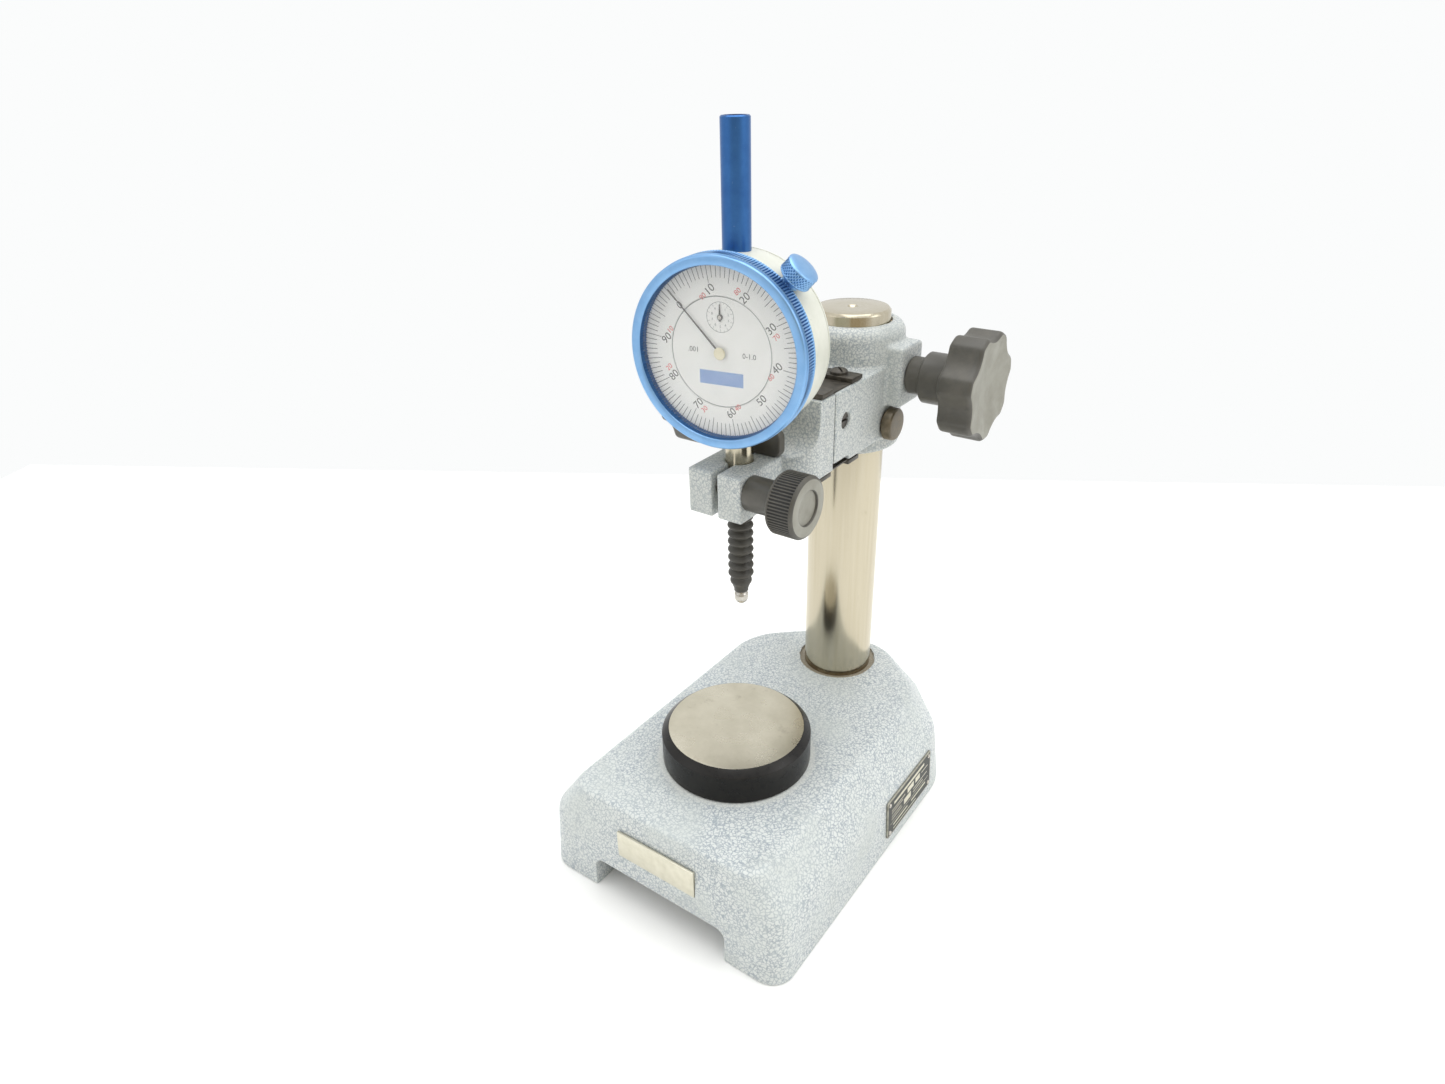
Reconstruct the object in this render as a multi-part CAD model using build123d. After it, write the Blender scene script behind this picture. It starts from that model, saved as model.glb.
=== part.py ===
from build123d import *
import math
import os

os.makedirs("parts", exist_ok=True)

# Comparator stand with a dial indicator. Millimetres, +Z up, +Y towards the column.
# The origin is on the bench, straight below the middle of the anvil.

# stand
baseWidth = 110.0
baseFront = -53.7
baseBack = 106.0
baseTop = 43.6
shoulderHeight = 28.0
topWidth = 85.0
anvilDiameter = 58.0
anvilTop = 57.8
columnDiameter = 29.3
columnTop = 203.1
columnY = 80.4

# bracket and fine feed
bossRadius = 20.5
bossBottom = 150.5
bossTop = 199.0
armHalfWidth = 19.5
armFront = 35.3
armTop = 184.6
armBottom = 156.4
bushRadius = 16.0
feedY, feedZ = 43.0, 172.5
feedOffset = 0.62
knobRadius = 20.0

# front block and its stem clamp
blockFront = -10.3
blockHalfWidth = 10.6
blockTop = 166.9
blockBottom = 150.8
plateFront, plateBack = 24.5, 34.6
clampY, clampZ = -4.5, 160.5

# indicator, drawn about its own stem axis and then turned and moved into the clamp
stemY = 4.6
dialTurn = 8.27
stemRadius = 4.7625
dialZ = 206.45
caseRadius = 29.0
caseBack = 5.2
bezelRadius = 30.2
lockY = -5.5
tubeTop = 272.5
tipZ = 110.5
spindleRadius = 2.25
rackModule = 25.4 / 20 / math.pi
wheelModule = 11.0 * 2 / 66
rackLine = -1.95
arborX = rackLine - 10 * rackModule
arborZ = dialZ - math.sqrt(11.0 ** 2 - arborX ** 2)
counterZ = dialZ + 11.0
takeUpX, takeUpZ = 10.55, dialZ - math.sqrt(11.0 ** 2 - 10.55 ** 2)

parts = {}


def block(x0, x1, y0, y1, z0, z1):
    return Pos((x0 + x1) / 2, (y0 + y1) / 2, (z0 + z1) / 2) * Box(x1 - x0, y1 - y0, z1 - z0)


def post(r, x, y, z0, z1):
    return Pos(x, y, z0) * Cylinder(r, z1 - z0, align=(Align.CENTER, Align.CENTER, Align.MIN))


def rodX(r, y, z, x0, x1):
    tool = Cylinder(r, x1 - x0, align=(Align.CENTER, Align.CENTER, Align.MIN))
    return Pos(x0, y, z) * Rot(0, 90, 0) * tool


def rodY(r, x, z, y0, y1):
    tool = Cylinder(r, y1 - y0, align=(Align.CENTER, Align.CENTER, Align.MIN))
    return Pos(x, y1, z) * Rot(90, 0, 0) * tool


def lathe(points):
    """A turned solid about Z from (radius, height) points."""
    outline = make_face(Polyline(*[(r, 0, z) for r, z in points], close=True))
    return revolve(outline, Axis.Z)


def turnedY(points, x, z):
    """A turned solid whose axis runs along Y; the points are (radius, y)."""
    return Pos(x, 0, z) * Rot(-90, 0, 0) * lathe(points)


def ringEdges(shape, z, tolerance=0.01):
    return [e for e in shape.edges() if abs(e.bounding_box().min.Z - z) < tolerance
            and abs(e.bounding_box().max.Z - z) < tolerance]


def placed(shape):
    return Pos(0, stemY, 0) * Rot(0, 0, dialTurn) * shape


# --- the heavy base ---

def basePlan(width, front, back, sideEnd, nose, z):
    corners = [(-width / 2, front), (width / 2, front), (width / 2, sideEnd),
               (nose, back), (-nose, back), (-width / 2, sideEnd)]
    face = make_face(Polyline(*corners, close=True))
    rounds = [(x, y, 9 if y < 0 else (16 if y > sideEnd + 1 else 24)) for x, y in corners]
    for x, y, radius in rounds:
        face = fillet([v for v in face.vertices() if abs(v.X - x) + abs(v.Y - y) < 0.01], radius)
    return Pos(0, 0, z) * face


def makeBase():
    low = basePlan(baseWidth, baseFront, baseBack, 79, 34, 0)
    middle = basePlan(baseWidth - 3, baseFront + 1.2, baseBack - 1.5, 75.5, 28, shoulderHeight)
    high = basePlan(topWidth, baseFront + 3.4, baseBack - 7, 74.5, 14, baseTop)
    body = loft([low, middle], ruled=True) + loft([middle, high], ruled=True)
    body = fillet(ringEdges(body, baseTop), 2.5)
    pocket = block(-43, 43, -43, 58, -1, 29)
    body -= fillet(pocket.edges().filter_by(Axis.Z), 6)
    arch = block(-30, 31, -60, -40, -1, 13.9)
    body -= fillet([e for e in arch.edges().filter_by(Axis.Y) if e.center().Z > 5], 3)
    body -= post(columnDiameter / 2, 0, columnY, 12, 60)
    body -= post(16.9, 0, columnY, baseTop - 0.7, 60)
    body -= post(4.2, 0, 0, 20, 60)
    body -= rodY(3.05, 0, 26, columnY + 10, 120)
    body -= block(-17.4, 18.4, baseFront - 1, baseFront + 1.75, 23, 35)
    return body


parts["base_casting"] = makeBase()
plate = block(-17.2, 18.2, baseFront + 0.6, baseFront + 1.75, 23.2, 34.8)
parts["name_plate"] = fillet(plate.edges().filter_by(Axis.Y), 0.6)
sideLean = math.degrees(math.atan(1.5 / shoulderHeight))
onSide = Pos(baseWidth / 2 - 1.5 * 15.5 / shoulderHeight, 46, 15.5) * Rot(0, -sideLean, 0)
sidePlate = fillet(block(0.05, 0.75, -20, 20, -9, 9).edges().filter_by(Axis.X), 1.0)
parts["data_plate"] = onSide * sidePlate
parts["data_plate_rivets"] = Compound(children=[
    onSide * rodX(0.9, y, z, 0.75, 1.2) for y in (-18, 18) for z in (-7, 7)])

r = anvilDiameter / 2
anvil = lathe([(0, baseTop), (r - 0.6, baseTop), (r, baseTop + 0.6), (r, anvilTop - 2.4),
               (r - 2.7, anvilTop), (0, anvilTop)])
anvil -= post(3.4, 0, 0, baseTop - 1, baseTop + 10)
parts["anvil"] = anvil
parts["anvil_screw"] = post(3.4, 0, 0, 27, baseTop + 9) + post(6.5, 0, 0, 22, 29)
column = lathe([(0, 12), (columnDiameter / 2 - 0.05, 12), (columnDiameter / 2, 13),
                (columnDiameter / 2, columnTop - 1), (columnDiameter / 2 - 1, columnTop),
                (2, columnTop), (1.2, columnTop - 0.9), (1.2, columnTop - 4), (0, columnTop - 5)])
parts["column"] = Pos(0, columnY, 0) * column
setScrew = rodY(3.0, 0, 26, columnY + columnDiameter / 2 + 0.1, 103.4)
parts["column_set_screw"] = setScrew - rodY(1.3, 0, 26, 101, 104)

# --- the bush and the bracket that slides on the column ---

parts["column_bush"] = Pos(0, columnY, 0) * lathe(
    [(columnDiameter / 2 + 0.05, bossBottom + 1.2), (bushRadius, bossBottom + 1.2),
     (bushRadius, bossTop - 1.2), (columnDiameter / 2 + 0.05, bossTop - 1.2)])

knobZ = 180.7
lugX, lugY = 26.0, columnY


def makeBracket():
    boss = post(bossRadius, 0, columnY, bossBottom, bossTop)
    boss = fillet(ringEdges(boss, bossTop), 5)
    boss = chamfer(ringEdges(boss, bossBottom), 1)
    arm = block(-armHalfWidth, armHalfWidth, armFront, columnY, armBottom, armTop)
    lug = block(0, lugX, lugY - 8.4, lugY + 8.4, 169.5, 192.2)
    body = boss + arm + fillet(lug.edges().filter_by(Axis.X), 1.5)
    body -= block(-25, 25, armFront - 1, 46.4, 150, armBottom + 1.9)
    body -= post(bushRadius + 0.05, 0, columnY, bossBottom + 1.2, bossTop - 1.2)
    body -= post(columnDiameter / 2 + 0.35, 0, columnY, 140, 210)
    body -= block(-8, 8, armFront - 1, 52, 162, 183)
    body -= rodX(6.05, feedY, feedZ, -25, -7)
    body -= rodX(3.05, feedY, feedZ, 7, 25)
    body -= rodX(4.05, lugY, knobZ, 10, 30)
    body -= rodX(4.6, 75.3, 161.9, 15, 30)
    for x in (-11.5, 11.5):
        body -= post(1.5, x, 50.6, armTop - 6, armTop + 1)
        body -= post(1.5, x, 50.6, armBottom - 1, armBottom + 6)
    return body


parts["bracket"] = makeBracket()
parts["clamp_pad"] = rodX(4.0, lugY, knobZ, bushRadius + 0.4, 20.5)
plug = rodX(4.6, 75.3, 161.9, 17.2, 20.5) + rodX(6.3, 75.3, 161.9, 20.5, 24)
parts["side_plug"] = chamfer([e for e in plug.edges() if abs(e.center().X - 24) < 0.01], 0.5)


def springPlate(y0, y1, z0, z1):
    body = block(-19, 19, y0, y1, z0, z1)
    middle = (y0 + y1) / 2
    for x in (-11.5, 11.5):
        body -= post(1.55, x, middle, z0 - 1, z1 + 1)
    return body


def makeLeaf(z0, z1):
    body = block(-18.5, 18.5, 26.3, 54.4, z0, z1)
    for x in (-11.5, 11.5):
        for y in (30.1, 50.6):
            body -= post(1.55, x, y, z0 - 1, z1 + 1)
    return body


def panScrew(x, y, z, up):
    """Slotted pan head on z, with its shank on the other side."""
    body = lathe([(0, -5.5), (1.45, -5.5), (1.45, 0), (3.2, 0), (3.2, 1.0), (2.3, 1.9), (0, 1.9)])
    body -= block(-4, 4, -0.4, 0.4, 1.2, 3)
    if not up:
        body = Rot(180, 0, 0) * body
    return Pos(x, y, z) * body


leafTop, leafBottom = armTop + 0.5, armBottom - 0.5
parts["leaf_spring_upper"] = makeLeaf(armTop, leafTop)
parts["leaf_spring_lower"] = makeLeaf(leafBottom, armBottom)
parts["rear_spring_plates"] = Compound(children=[
    springPlate(46.8, 54.4, leafTop, leafTop + 1.5),
    springPlate(46.8, 54.4, leafBottom - 1.5, leafBottom)])
parts["front_spring_plates"] = Compound(children=[
    springPlate(26.3, 33.9, leafTop, leafTop + 1.5),
    springPlate(26.3, 33.9, leafBottom - 1.5, leafBottom)])
parts["rear_spring_screws"] = Compound(children=[
    panScrew(x, 50.6, z, up) for x in (-11.5, 11.5)
    for z, up in ((leafTop + 1.5, True), (leafBottom - 1.5, False))])
parts["front_spring_screws"] = Compound(children=[
    panScrew(x, 30.1, z, up) for x in (-11.5, 11.5)
    for z, up in ((leafTop + 1.5, True), (leafBottom - 1.5, False))])


# --- star knobs ---

def makeStarKnob():
    lobes = Circle(knobRadius)
    for i in range(7):
        a = 2 * math.pi * i / 7
        lobes -= Pos(27.8 * math.cos(a), 27.8 * math.sin(a)) * Circle(10.2)
    lobes = fillet(lobes.vertices(), 1.6)
    head = Pos(0, 0, 17.7) * extrude(lobes, 13)
    head = chamfer(ringEdges(head, 30.7), 1.0)
    head -= post(12.5, 0, 0, 30.1, 32)
    stalk = lathe([(0, 0), (7, 0), (7, 5.5), (9.5, 6.2), (9.5, 17.8), (0, 17.8)])
    return head + stalk - post(4.0, 0, 0, -1, 12)


starKnob = makeStarKnob()
parts["clamp_star_knob"] = Pos(lugX + 0.3, lugY, knobZ) * Rot(0, 90, 0) * starKnob
parts["clamp_screw"] = rodX(4.0, lugY, knobZ, 20.9, lugX + 12.2)
feedFace = armHalfWidth + 0.3
parts["feed_star_knob"] = Pos(-feedFace, feedY, feedZ) * Rot(0, -90, 0) * starKnob
feedShaft = rodX(6.0, feedY, feedZ, -armHalfWidth - 0.25, -8.5)
feedShaft += rodX(4.0, feedY, feedZ, -feedFace - 11.9, -armHalfWidth - 0.2)
feedShaft += rodX(5.0, feedY + feedOffset, feedZ, -8.5, 7.0)
feedShaft += rodX(3.0, feedY, feedZ, 7.0, 18.4)
feedShaft -= block(17.4, 19, feedY - 4, feedY + 4, feedZ - 0.45, feedZ + 0.45)
parts["feed_shaft"] = feedShaft


# --- the sprung front block with the stem clamp ---

def makeFrontBlock():
    side = make_face(Line((blockFront, blockBottom), (15, blockBottom))
                     + Line((15, blockBottom), (plateFront, armBottom))
                     + Line((plateFront, armBottom), (plateBack, armBottom))
                     + Line((plateBack, armBottom), (plateBack, armTop))
                     + Line((plateBack, armTop), (plateFront, armTop))
                     + Line((plateFront, armTop), (plateFront, 178.5))
                     + RadiusArc((plateFront, 178.5), (15.8, blockTop), 10.5)
                     + Line((15.8, blockTop), (blockFront, blockTop))
                     + Line((blockFront, blockTop), (blockFront, blockBottom)))
    across = extrude(Plane.YZ * side, armHalfWidth, both=True)
    w, h = armHalfWidth, blockHalfWidth
    plan = make_face(Line((-h, blockFront), (h, blockFront)) + Line((h, blockFront), (h, 14))
                     + RadiusArc((h, 14), (w, plateFront + 0.6), -11)
                     + Line((w, plateFront + 0.6), (w, plateBack)) + Line((w, plateBack), (-w, plateBack))
                     + Line((-w, plateBack), (-w, plateFront + 0.6))
                     + RadiusArc((-w, plateFront + 0.6), (-h, 14), -11)
                     + Line((-h, 14), (-h, blockFront)))
    down = Pos(0, 0, 140) * extrude(plan, 60)
    body = across & down
    tongue = block(-6, 6, plateBack - 1, 50.5, 165, 180)
    body += tongue - block(-7, 7, 36.2, 52, feedZ - 5.1, feedZ + 5.1)
    body -= post(stemRadius + 0.02, 0, stemY, 140, 170)
    body -= block(-1.15, 1.15, blockFront - 1, stemY - 2, 140, 170)
    body -= rodX(3.1, clampY, clampZ, 0, 12)
    body -= rodX(3.0, clampY, clampZ, -8.6, 1)
    for x in (-11.5, 11.5):
        body -= post(1.5, x, 30.1, armTop - 6, armTop + 1)
        body -= post(1.5, x, 30.1, armBottom - 1, armBottom + 6)
    return body


parts["front_block"] = makeFrontBlock()
pad = block(-13, 11.4, 11.6, 15.4, blockTop, blockTop + 9.6)
parts["rest_pad"] = fillet([e for e in pad.edges().filter_by(Axis.Y) if e.center().Z > blockTop + 5], 3)


def makeKnurledKnob():
    body = lathe([(0, 0), (6, 0), (6, 11.7), (9.4, 11.7), (10.6, 12.6), (10.6, 21.0),
                  (9.6, 21.9), (5.8, 21.9), (5.6, 21.4), (0, 21.4)])
    return body - post(3.0, 0, 0, -1, 9)


knobX = blockHalfWidth + 0.15
parts["stem_clamp_knob"] = Pos(knobX, clampY, clampZ) * Rot(0, 90, 0) * makeKnurledKnob()
parts["stem_clamp_screw"] = rodX(3.0, clampY, clampZ, -8.3, knobX + 8.9)


# --- the indicator's fixed pieces ---

def makeCase():
    body = turnedY([(26.5, -10.9), (27.8, -10.9), (27.8, -8.4), (caseRadius, -8.4),
                    (caseRadius, caseBack), (26.5, caseBack)], 0, dialZ)
    body -= post(stemRadius, 0, 0, 170, 190)
    body -= post(4.5, 0, 0, 225, 240)
    hole = Pos(0, lockY, dialZ) * Rot(0, 90 - 47, 0) * post(1.6, 0, 0, 24, 32)
    return body - hole


def gearOutline(teeth, module, tip, root, share, phase):
    """Straight-sided narrow teeth, so a pair runs with plenty of backlash."""
    radius = teeth * module / 2
    step = 2 * math.pi / teeth
    half = share * step / 2
    points = []
    for i in range(teeth):
        a = math.radians(phase) + i * step
        for offset, rr in ((-1.25 * half, radius - root), (-0.6 * half, radius + tip),
                           (0.6 * half, radius + tip), (1.25 * half, radius - root)):
            points.append((rr * math.cos(a + offset), rr * math.sin(a + offset)))
    return make_face(Polyline(*points, close=True))


def gearY(teeth, module, tip, root, share, phase, x, z, y0, y1):
    """A gear on an axis along Y; the phase is counted from +X towards +Z."""
    flat = extrude(gearOutline(teeth, module, tip, root, share, -phase), y1 - y0)
    return Pos(x, y0, z) * Rot(-90, 0, 0) * flat


parts["indicator_case"] = makeCase()
cover = turnedY([(0, caseBack), (caseRadius, caseBack), (caseRadius, caseBack + 0.6),
                 (caseRadius - 1, caseBack + 1.2), (0, caseBack + 1.2)], 0, dialZ)
coverScrews = []
for a in (35, 145, 215, 325):
    x, z = 22 * math.cos(math.radians(a)), dialZ + 22 * math.sin(math.radians(a))
    cover -= rodY(0.9, x, z, caseBack - 1, caseBack + 3)
    coverScrews.append(placed(rodY(0.85, x, z, caseBack - 3, caseBack + 1.3)
                              + rodY(1.8, x, z, caseBack + 1.25, caseBack + 1.8)))
parts["back_cover"] = cover
coverScrewSet = Compound(children=coverScrews)
parts["stem"] = lathe([(2.3, 152.5), (stemRadius - 0.4, 152.5), (stemRadius, 153), (stemRadius, 180.4),
                       (2.3, 180.4)])
parts["guard_tube"] = lathe([(3.4, 232.4), (4.5, 232.4), (4.5, tubeTop - 0.4),
                             (4.1, tubeTop), (3.4, tubeTop)])
parts["tube_cap"] = post(3.4, 0, 0, tubeTop - 1.8, tubeTop - 0.3)
dial = turnedY([(1.2, -11.5), (17.3, -11.5), (17.3, -10.6), (26.3, -10.6), (26.3, -10.1), (1.2, -10.1)],
               0, dialZ)
parts["inner_dial"] = dial - rodY(0.9, 0, counterZ, -12, -9)


def movementPlate(radius, y0, y1, holes):
    body = rodY(radius, 0, dialZ, y0, y1)
    for x, z, hole in holes:
        body -= rodY(hole, x, z, y0 - 1, y1 + 1)
    return body


pillarSpots = [(22 * math.cos(math.radians(a)), dialZ + 22 * math.sin(math.radians(a)), 1.0)
               for a in (35, 145, 215, 325)]
arborSpots = [(arborX, arborZ, 0.65), (0, dialZ, 0.65), (0, counterZ, 0.65), (takeUpX, takeUpZ, 0.65)]
parts["movement_front_plate"] = movementPlate(25.4, -9.6, -8.8, arborSpots + pillarSpots)
parts["movement_middle_plate"] = movementPlate(25.4, -3.9, -3.1, arborSpots + pillarSpots)
cock = block(arborX - 3, arborX + 3, 2.5, 3.3, arborZ - 3, arborZ + 3)
cock += block(arborX - 3, arborX - 1.5, -3.1, 3.3, arborZ - 12.5, arborZ - 8)
cock += block(arborX - 3, arborX - 0.5, 2.5, 3.3, arborZ - 12.5, arborZ - 2)
parts["arbor_cock"] = cock - rodY(0.65, arborX, arborZ, 2, 4)
pillarSet = Compound(children=[
    placed(rodY(0.95, x, z, -9.7, caseBack - 3.05) + rodY(1.6, x, z, -8.75, -3.95)) for x, z, _ in pillarSpots])
rail = block(5, 8.5, -3.1, 2.2, 184, 213)
parts["guide_rail"] = rail - block(4, 9, -0.9, 0.9, 186, 211)


# --- spindle, contact and boot ---

def makeSpindle():
    body = post(spindleRadius, 0, 0, 152.6, 244) + post(1.9, 0, 0, 117.4, 153)
    body -= block(-3, rackLine + 0.45, -3, 3, 172.6, 200)
    pitch = math.pi * rackModule
    for i in range(-17, 2):
        z = arborZ + i * pitch
        tooth = make_face(Polyline((rackLine + 0.5, z - 0.3), (rackLine - 0.28, z - 0.14),
                                   (rackLine - 0.28, z + 0.14), (rackLine + 0.5, z + 0.3), close=True))
        body += extrude(Plane.XZ * tooth, 0.5, both=True)
    body += rodX(0.8, 0, 188, spindleRadius - 0.5, 9.5)
    return body


parts["spindle"] = makeSpindle()
parts["contact_point"] = lathe([(0, tipZ), (1.1, tipZ + 0.25), (2.0, tipZ + 1.0), (2.45, tipZ + 2.2),
                                (2.45, tipZ + 4.2), (1.9, tipZ + 4.8), (1.9, 117.4), (0, 117.4)])


def makeBoot():
    folds, low, high = 10, 118.6, 150.2
    pitch = (high - low) / folds
    outer = [(2.6, 115.8)]
    outer += [(2.6, low - 1.6)]
    for i in range(folds):
        z = low + i * pitch
        swell = 3.9 if i == 0 else 4.6
        outer += [(swell - 0.75, z), (swell, z + 0.32 * pitch), (swell, z + 0.68 * pitch)]
    outer += [(3.7, high), (4.3, high + 0.1), (4.3, high + 2.2)]
    inner = [(2.7, high + 2.2), (2.7, low), (1.95, low - 1.4), (1.95, 115.8)]
    return lathe(outer + inner)


parts["boot"] = makeBoot()
springWire = sweep(Plane(origin=(2.9, 0, 244.6), x_dir=(1, 0, 0), z_dir=(0, 1, 0.3)) * Circle(0.3),
                   path=Helix(pitch=2.3, height=25.3, radius=2.9, center=(0, 0, 244.6)))
parts["return_spring"] = springWire


# --- the gear train, in mesh at rest ---

def meshPhase(angleToMate, mateTeeth, mateSpace, ownTeeth):
    """Phase that puts a tooth in the mate's nearest space; all angles in degrees."""
    step = 360 / mateTeeth
    offset = (mateSpace - (angleToMate + 180)) % step
    if offset > step / 2:
        offset -= step
    return angleToMate - offset * mateTeeth / ownTeeth


toCentre = math.degrees(math.atan2(dialZ - arborZ, -arborX))
leafSpace = toCentre + 180
rackPinion = gearY(20, rackModule, 0.28, 0.5, 0.42, 9, arborX, arborZ, -1.1, 1.1)
rackPinion += rodY(0.6, arborX, arborZ, -9.5, 3.2)
parts["rack_pinion"] = rackPinion
wheel = gearY(60, wheelModule, 0.28, 0.42, 0.34, toCentre, arborX, arborZ, -5.6, -4.9)
parts["first_wheel"] = wheel - rodY(0.6, arborX, arborZ, -6, -4)
centre = gearY(6, wheelModule, 0.28, 0.42, 0.3, leafSpace + 30, 0, dialZ, -8.4, -4.4)
centre += rodY(0.45, 0, dialZ, -12.6, -8.3) + rodY(0.45, 0, dialZ, -4.5, -3.2)
parts["centre_pinion"] = centre
counterPhase = meshPhase(270, 6, leafSpace, 60)
counter = gearY(60, wheelModule, 0.28, 0.42, 0.34, counterPhase, 0, counterZ, -5.6, -4.9)
parts["counter_wheel"] = counter + rodY(0.6, 0, counterZ, -12.0, -3.2)
takeUpAngle = math.degrees(math.atan2(dialZ - takeUpZ, -takeUpX))
takeUpPhase = meshPhase(takeUpAngle, 6, leafSpace, 60)
takeUp = gearY(60, wheelModule, 0.28, 0.42, 0.34, takeUpPhase, takeUpX, takeUpZ, -8.2, -7.6)
parts["take_up_wheel"] = takeUp + rodY(0.6, takeUpX, takeUpZ, -9.5, -3.2)


def makeHairspring():
    turns, first, step = 5, 1.0, 0.85
    path = []
    for i in range(turns * 14 + 1):
        a = 2 * math.pi * i / 14
        rr = first + step * a / (2 * math.pi)
        path.append((rr * math.cos(a), rr * math.sin(a)))
    outer = [(x * (1 + 0.1 / math.hypot(x, y)), y * (1 + 0.1 / math.hypot(x, y))) for x, y in path]
    inner = [(x * (1 - 0.1 / math.hypot(x, y)), y * (1 - 0.1 / math.hypot(x, y))) for x, y in path]
    strip = extrude(make_face(Polyline(*(outer + inner[::-1]), close=True)), 0.5)
    collet = Circle(1.2) - Circle(0.6)
    strip += extrude(collet, 0.5)
    return Pos(takeUpX, -7.2, takeUpZ) * Rot(-90, 0, 0) * strip


parts["hairspring"] = makeHairspring()


def makeHand(length, tail, width, hub, angle, x, z, y0, y1):
    """A tapered hand; the angle turns it from straight up, positive anticlockwise."""
    blade = make_face(Polyline((-width / 2, -tail), (width / 2, -tail), (width / 2, 0),
                               (0.12, length), (-0.12, length), (-width / 2, 0), close=True))
    flat = extrude(Rot(0, 0, angle) * blade + Circle(hub), y1 - y0)
    return Pos(x, y1, z) * Rot(90, 0, 0) * flat


pointer = makeHand(25.2, 2.0, 0.6, 1.3, 44.3, 0, dialZ, -12.35, -12.2)
parts["pointer"] = pointer - rodY(0.45, 0, dialZ, -13, -12)
parts["pointer_hub"] = rodY(1.5, 0, dialZ, -12.75, -12.35) - rodY(0.45, 0, dialZ, -12.6, -12)
counterHand = makeHand(4.0, 1.2, 0.6, 0.9, 0, 0, counterZ, -11.95, -11.8)
parts["counter_hand"] = counterHand - rodY(0.6, 0, counterZ, -12.2, -11)

# --- the bezel that turns on the case, and its lock screw ---

parts["bezel_ring"] = turnedY(
    [(27.3, -15.9), (29.4, -15.9), (30.0, -15.3), (30.0, -14.8), (29.3, -14.5), (29.3, -14.3),
     (bezelRadius, -14.0), (bezelRadius, -8.8), (29.9, -8.5), (27.85, -8.5), (27.85, -11.0),
     (26.95, -11.0), (26.95, -15.55)], 0, dialZ)
parts["crystal"] = rodY(26.9, 0, dialZ, -13.65, -12.9)
parts["scale_ring"] = turnedY([(17.45, -11.55), (26.9, -11.55), (26.9, -11.15), (17.45, -11.15)], 0, dialZ)
screw = lathe([(0, 25.9), (1.5, 25.9), (1.5, 29.3), (2.9, 29.3), (2.9, 31.4), (5.0, 31.4),
               (5.4, 31.9), (5.4, 36.0), (4.7, 36.6), (0, 36.6)])
parts["bezel_lock_screw"] = Pos(0, lockY, dialZ) * Rot(0, 90 - 47, 0) * screw

indicatorNodes = [
    "indicator_case", "back_cover", "stem", "guard_tube", "tube_cap", "inner_dial",
    "movement_front_plate", "movement_middle_plate", "arbor_cock", "guide_rail",
    "spindle", "contact_point", "boot", "return_spring", "rack_pinion", "first_wheel", "centre_pinion",
    "counter_wheel", "take_up_wheel", "hairspring", "pointer", "pointer_hub", "counter_hand",
    "bezel_ring", "crystal", "scale_ring", "bezel_lock_screw"]
for name in indicatorNodes:
    parts[name] = placed(parts[name])
parts["back_cover_screws"] = coverScrewSet
parts["movement_pillars"] = pillarSet

for name, shape in parts.items():
    export_step(shape, f"parts/{name}.step")
print(len(parts), "nodes")
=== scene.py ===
import math
import bmesh
import bpy
from mathutils import Matrix, Vector


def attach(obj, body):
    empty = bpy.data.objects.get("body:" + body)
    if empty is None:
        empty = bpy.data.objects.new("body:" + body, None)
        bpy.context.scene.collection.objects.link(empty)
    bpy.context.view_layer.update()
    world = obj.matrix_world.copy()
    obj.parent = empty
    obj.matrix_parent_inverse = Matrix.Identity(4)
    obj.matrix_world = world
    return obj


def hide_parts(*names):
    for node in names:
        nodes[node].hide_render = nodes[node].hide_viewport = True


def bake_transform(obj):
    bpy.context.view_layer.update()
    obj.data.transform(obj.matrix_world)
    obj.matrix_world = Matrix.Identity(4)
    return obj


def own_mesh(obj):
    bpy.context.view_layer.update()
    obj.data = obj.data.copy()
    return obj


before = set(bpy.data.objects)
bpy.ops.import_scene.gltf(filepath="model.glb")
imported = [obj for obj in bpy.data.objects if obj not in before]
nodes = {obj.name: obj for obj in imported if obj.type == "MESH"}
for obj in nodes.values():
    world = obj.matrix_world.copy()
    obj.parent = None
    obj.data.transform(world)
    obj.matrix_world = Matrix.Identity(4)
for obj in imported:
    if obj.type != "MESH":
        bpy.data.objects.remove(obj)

# Comparator stand with a dial indicator.
# Pieces are drawn in millimetres about the anvil's axis and scaled to metres as they are finished.

scene = bpy.context.scene
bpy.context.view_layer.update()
unit = 0.001


# camera, floor and light

camera = {"place": (165.5, -231.27, 285.43), "azimuth": 36.33, "down": 27.50, "roll": -1.33, "lens": 22.89}


def placeCamera():
    a, t, r = (math.radians(camera[k]) for k in ("azimuth", "down", "roll"))
    back = Vector((math.sin(a) * math.cos(t), -math.cos(a) * math.cos(t), math.sin(t)))
    right = (-back).cross(Vector((0, 0, 1))).normalized()
    up = right.cross(-back)
    across = right * math.cos(r) + up * math.sin(r)
    rise = up * math.cos(r) - right * math.sin(r)
    data = bpy.data.cameras.new("camera")
    data.sensor_width = 36
    data.lens = camera["lens"]
    data.clip_start, data.clip_end = 0.01, 20
    seen = bpy.data.objects.new("camera", data)
    turn = Matrix((across, rise, back)).transposed().to_4x4()
    seen.matrix_world = Matrix.Translation(Vector(camera["place"]) * unit) @ turn
    scene.collection.objects.link(seen)
    scene.camera = seen


def fromHex(code):
    # sRGB hex to linear
    parts = [int(code[i:i + 2], 16) / 255 for i in (0, 2, 4)]
    return [c / 12.92 if c <= 0.04045 else ((c + 0.055) / 1.055) ** 2.4 for c in parts] + [1.0]


def mainOutput(node):
    return next(o for o in node.outputs if o.enabled)


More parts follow.
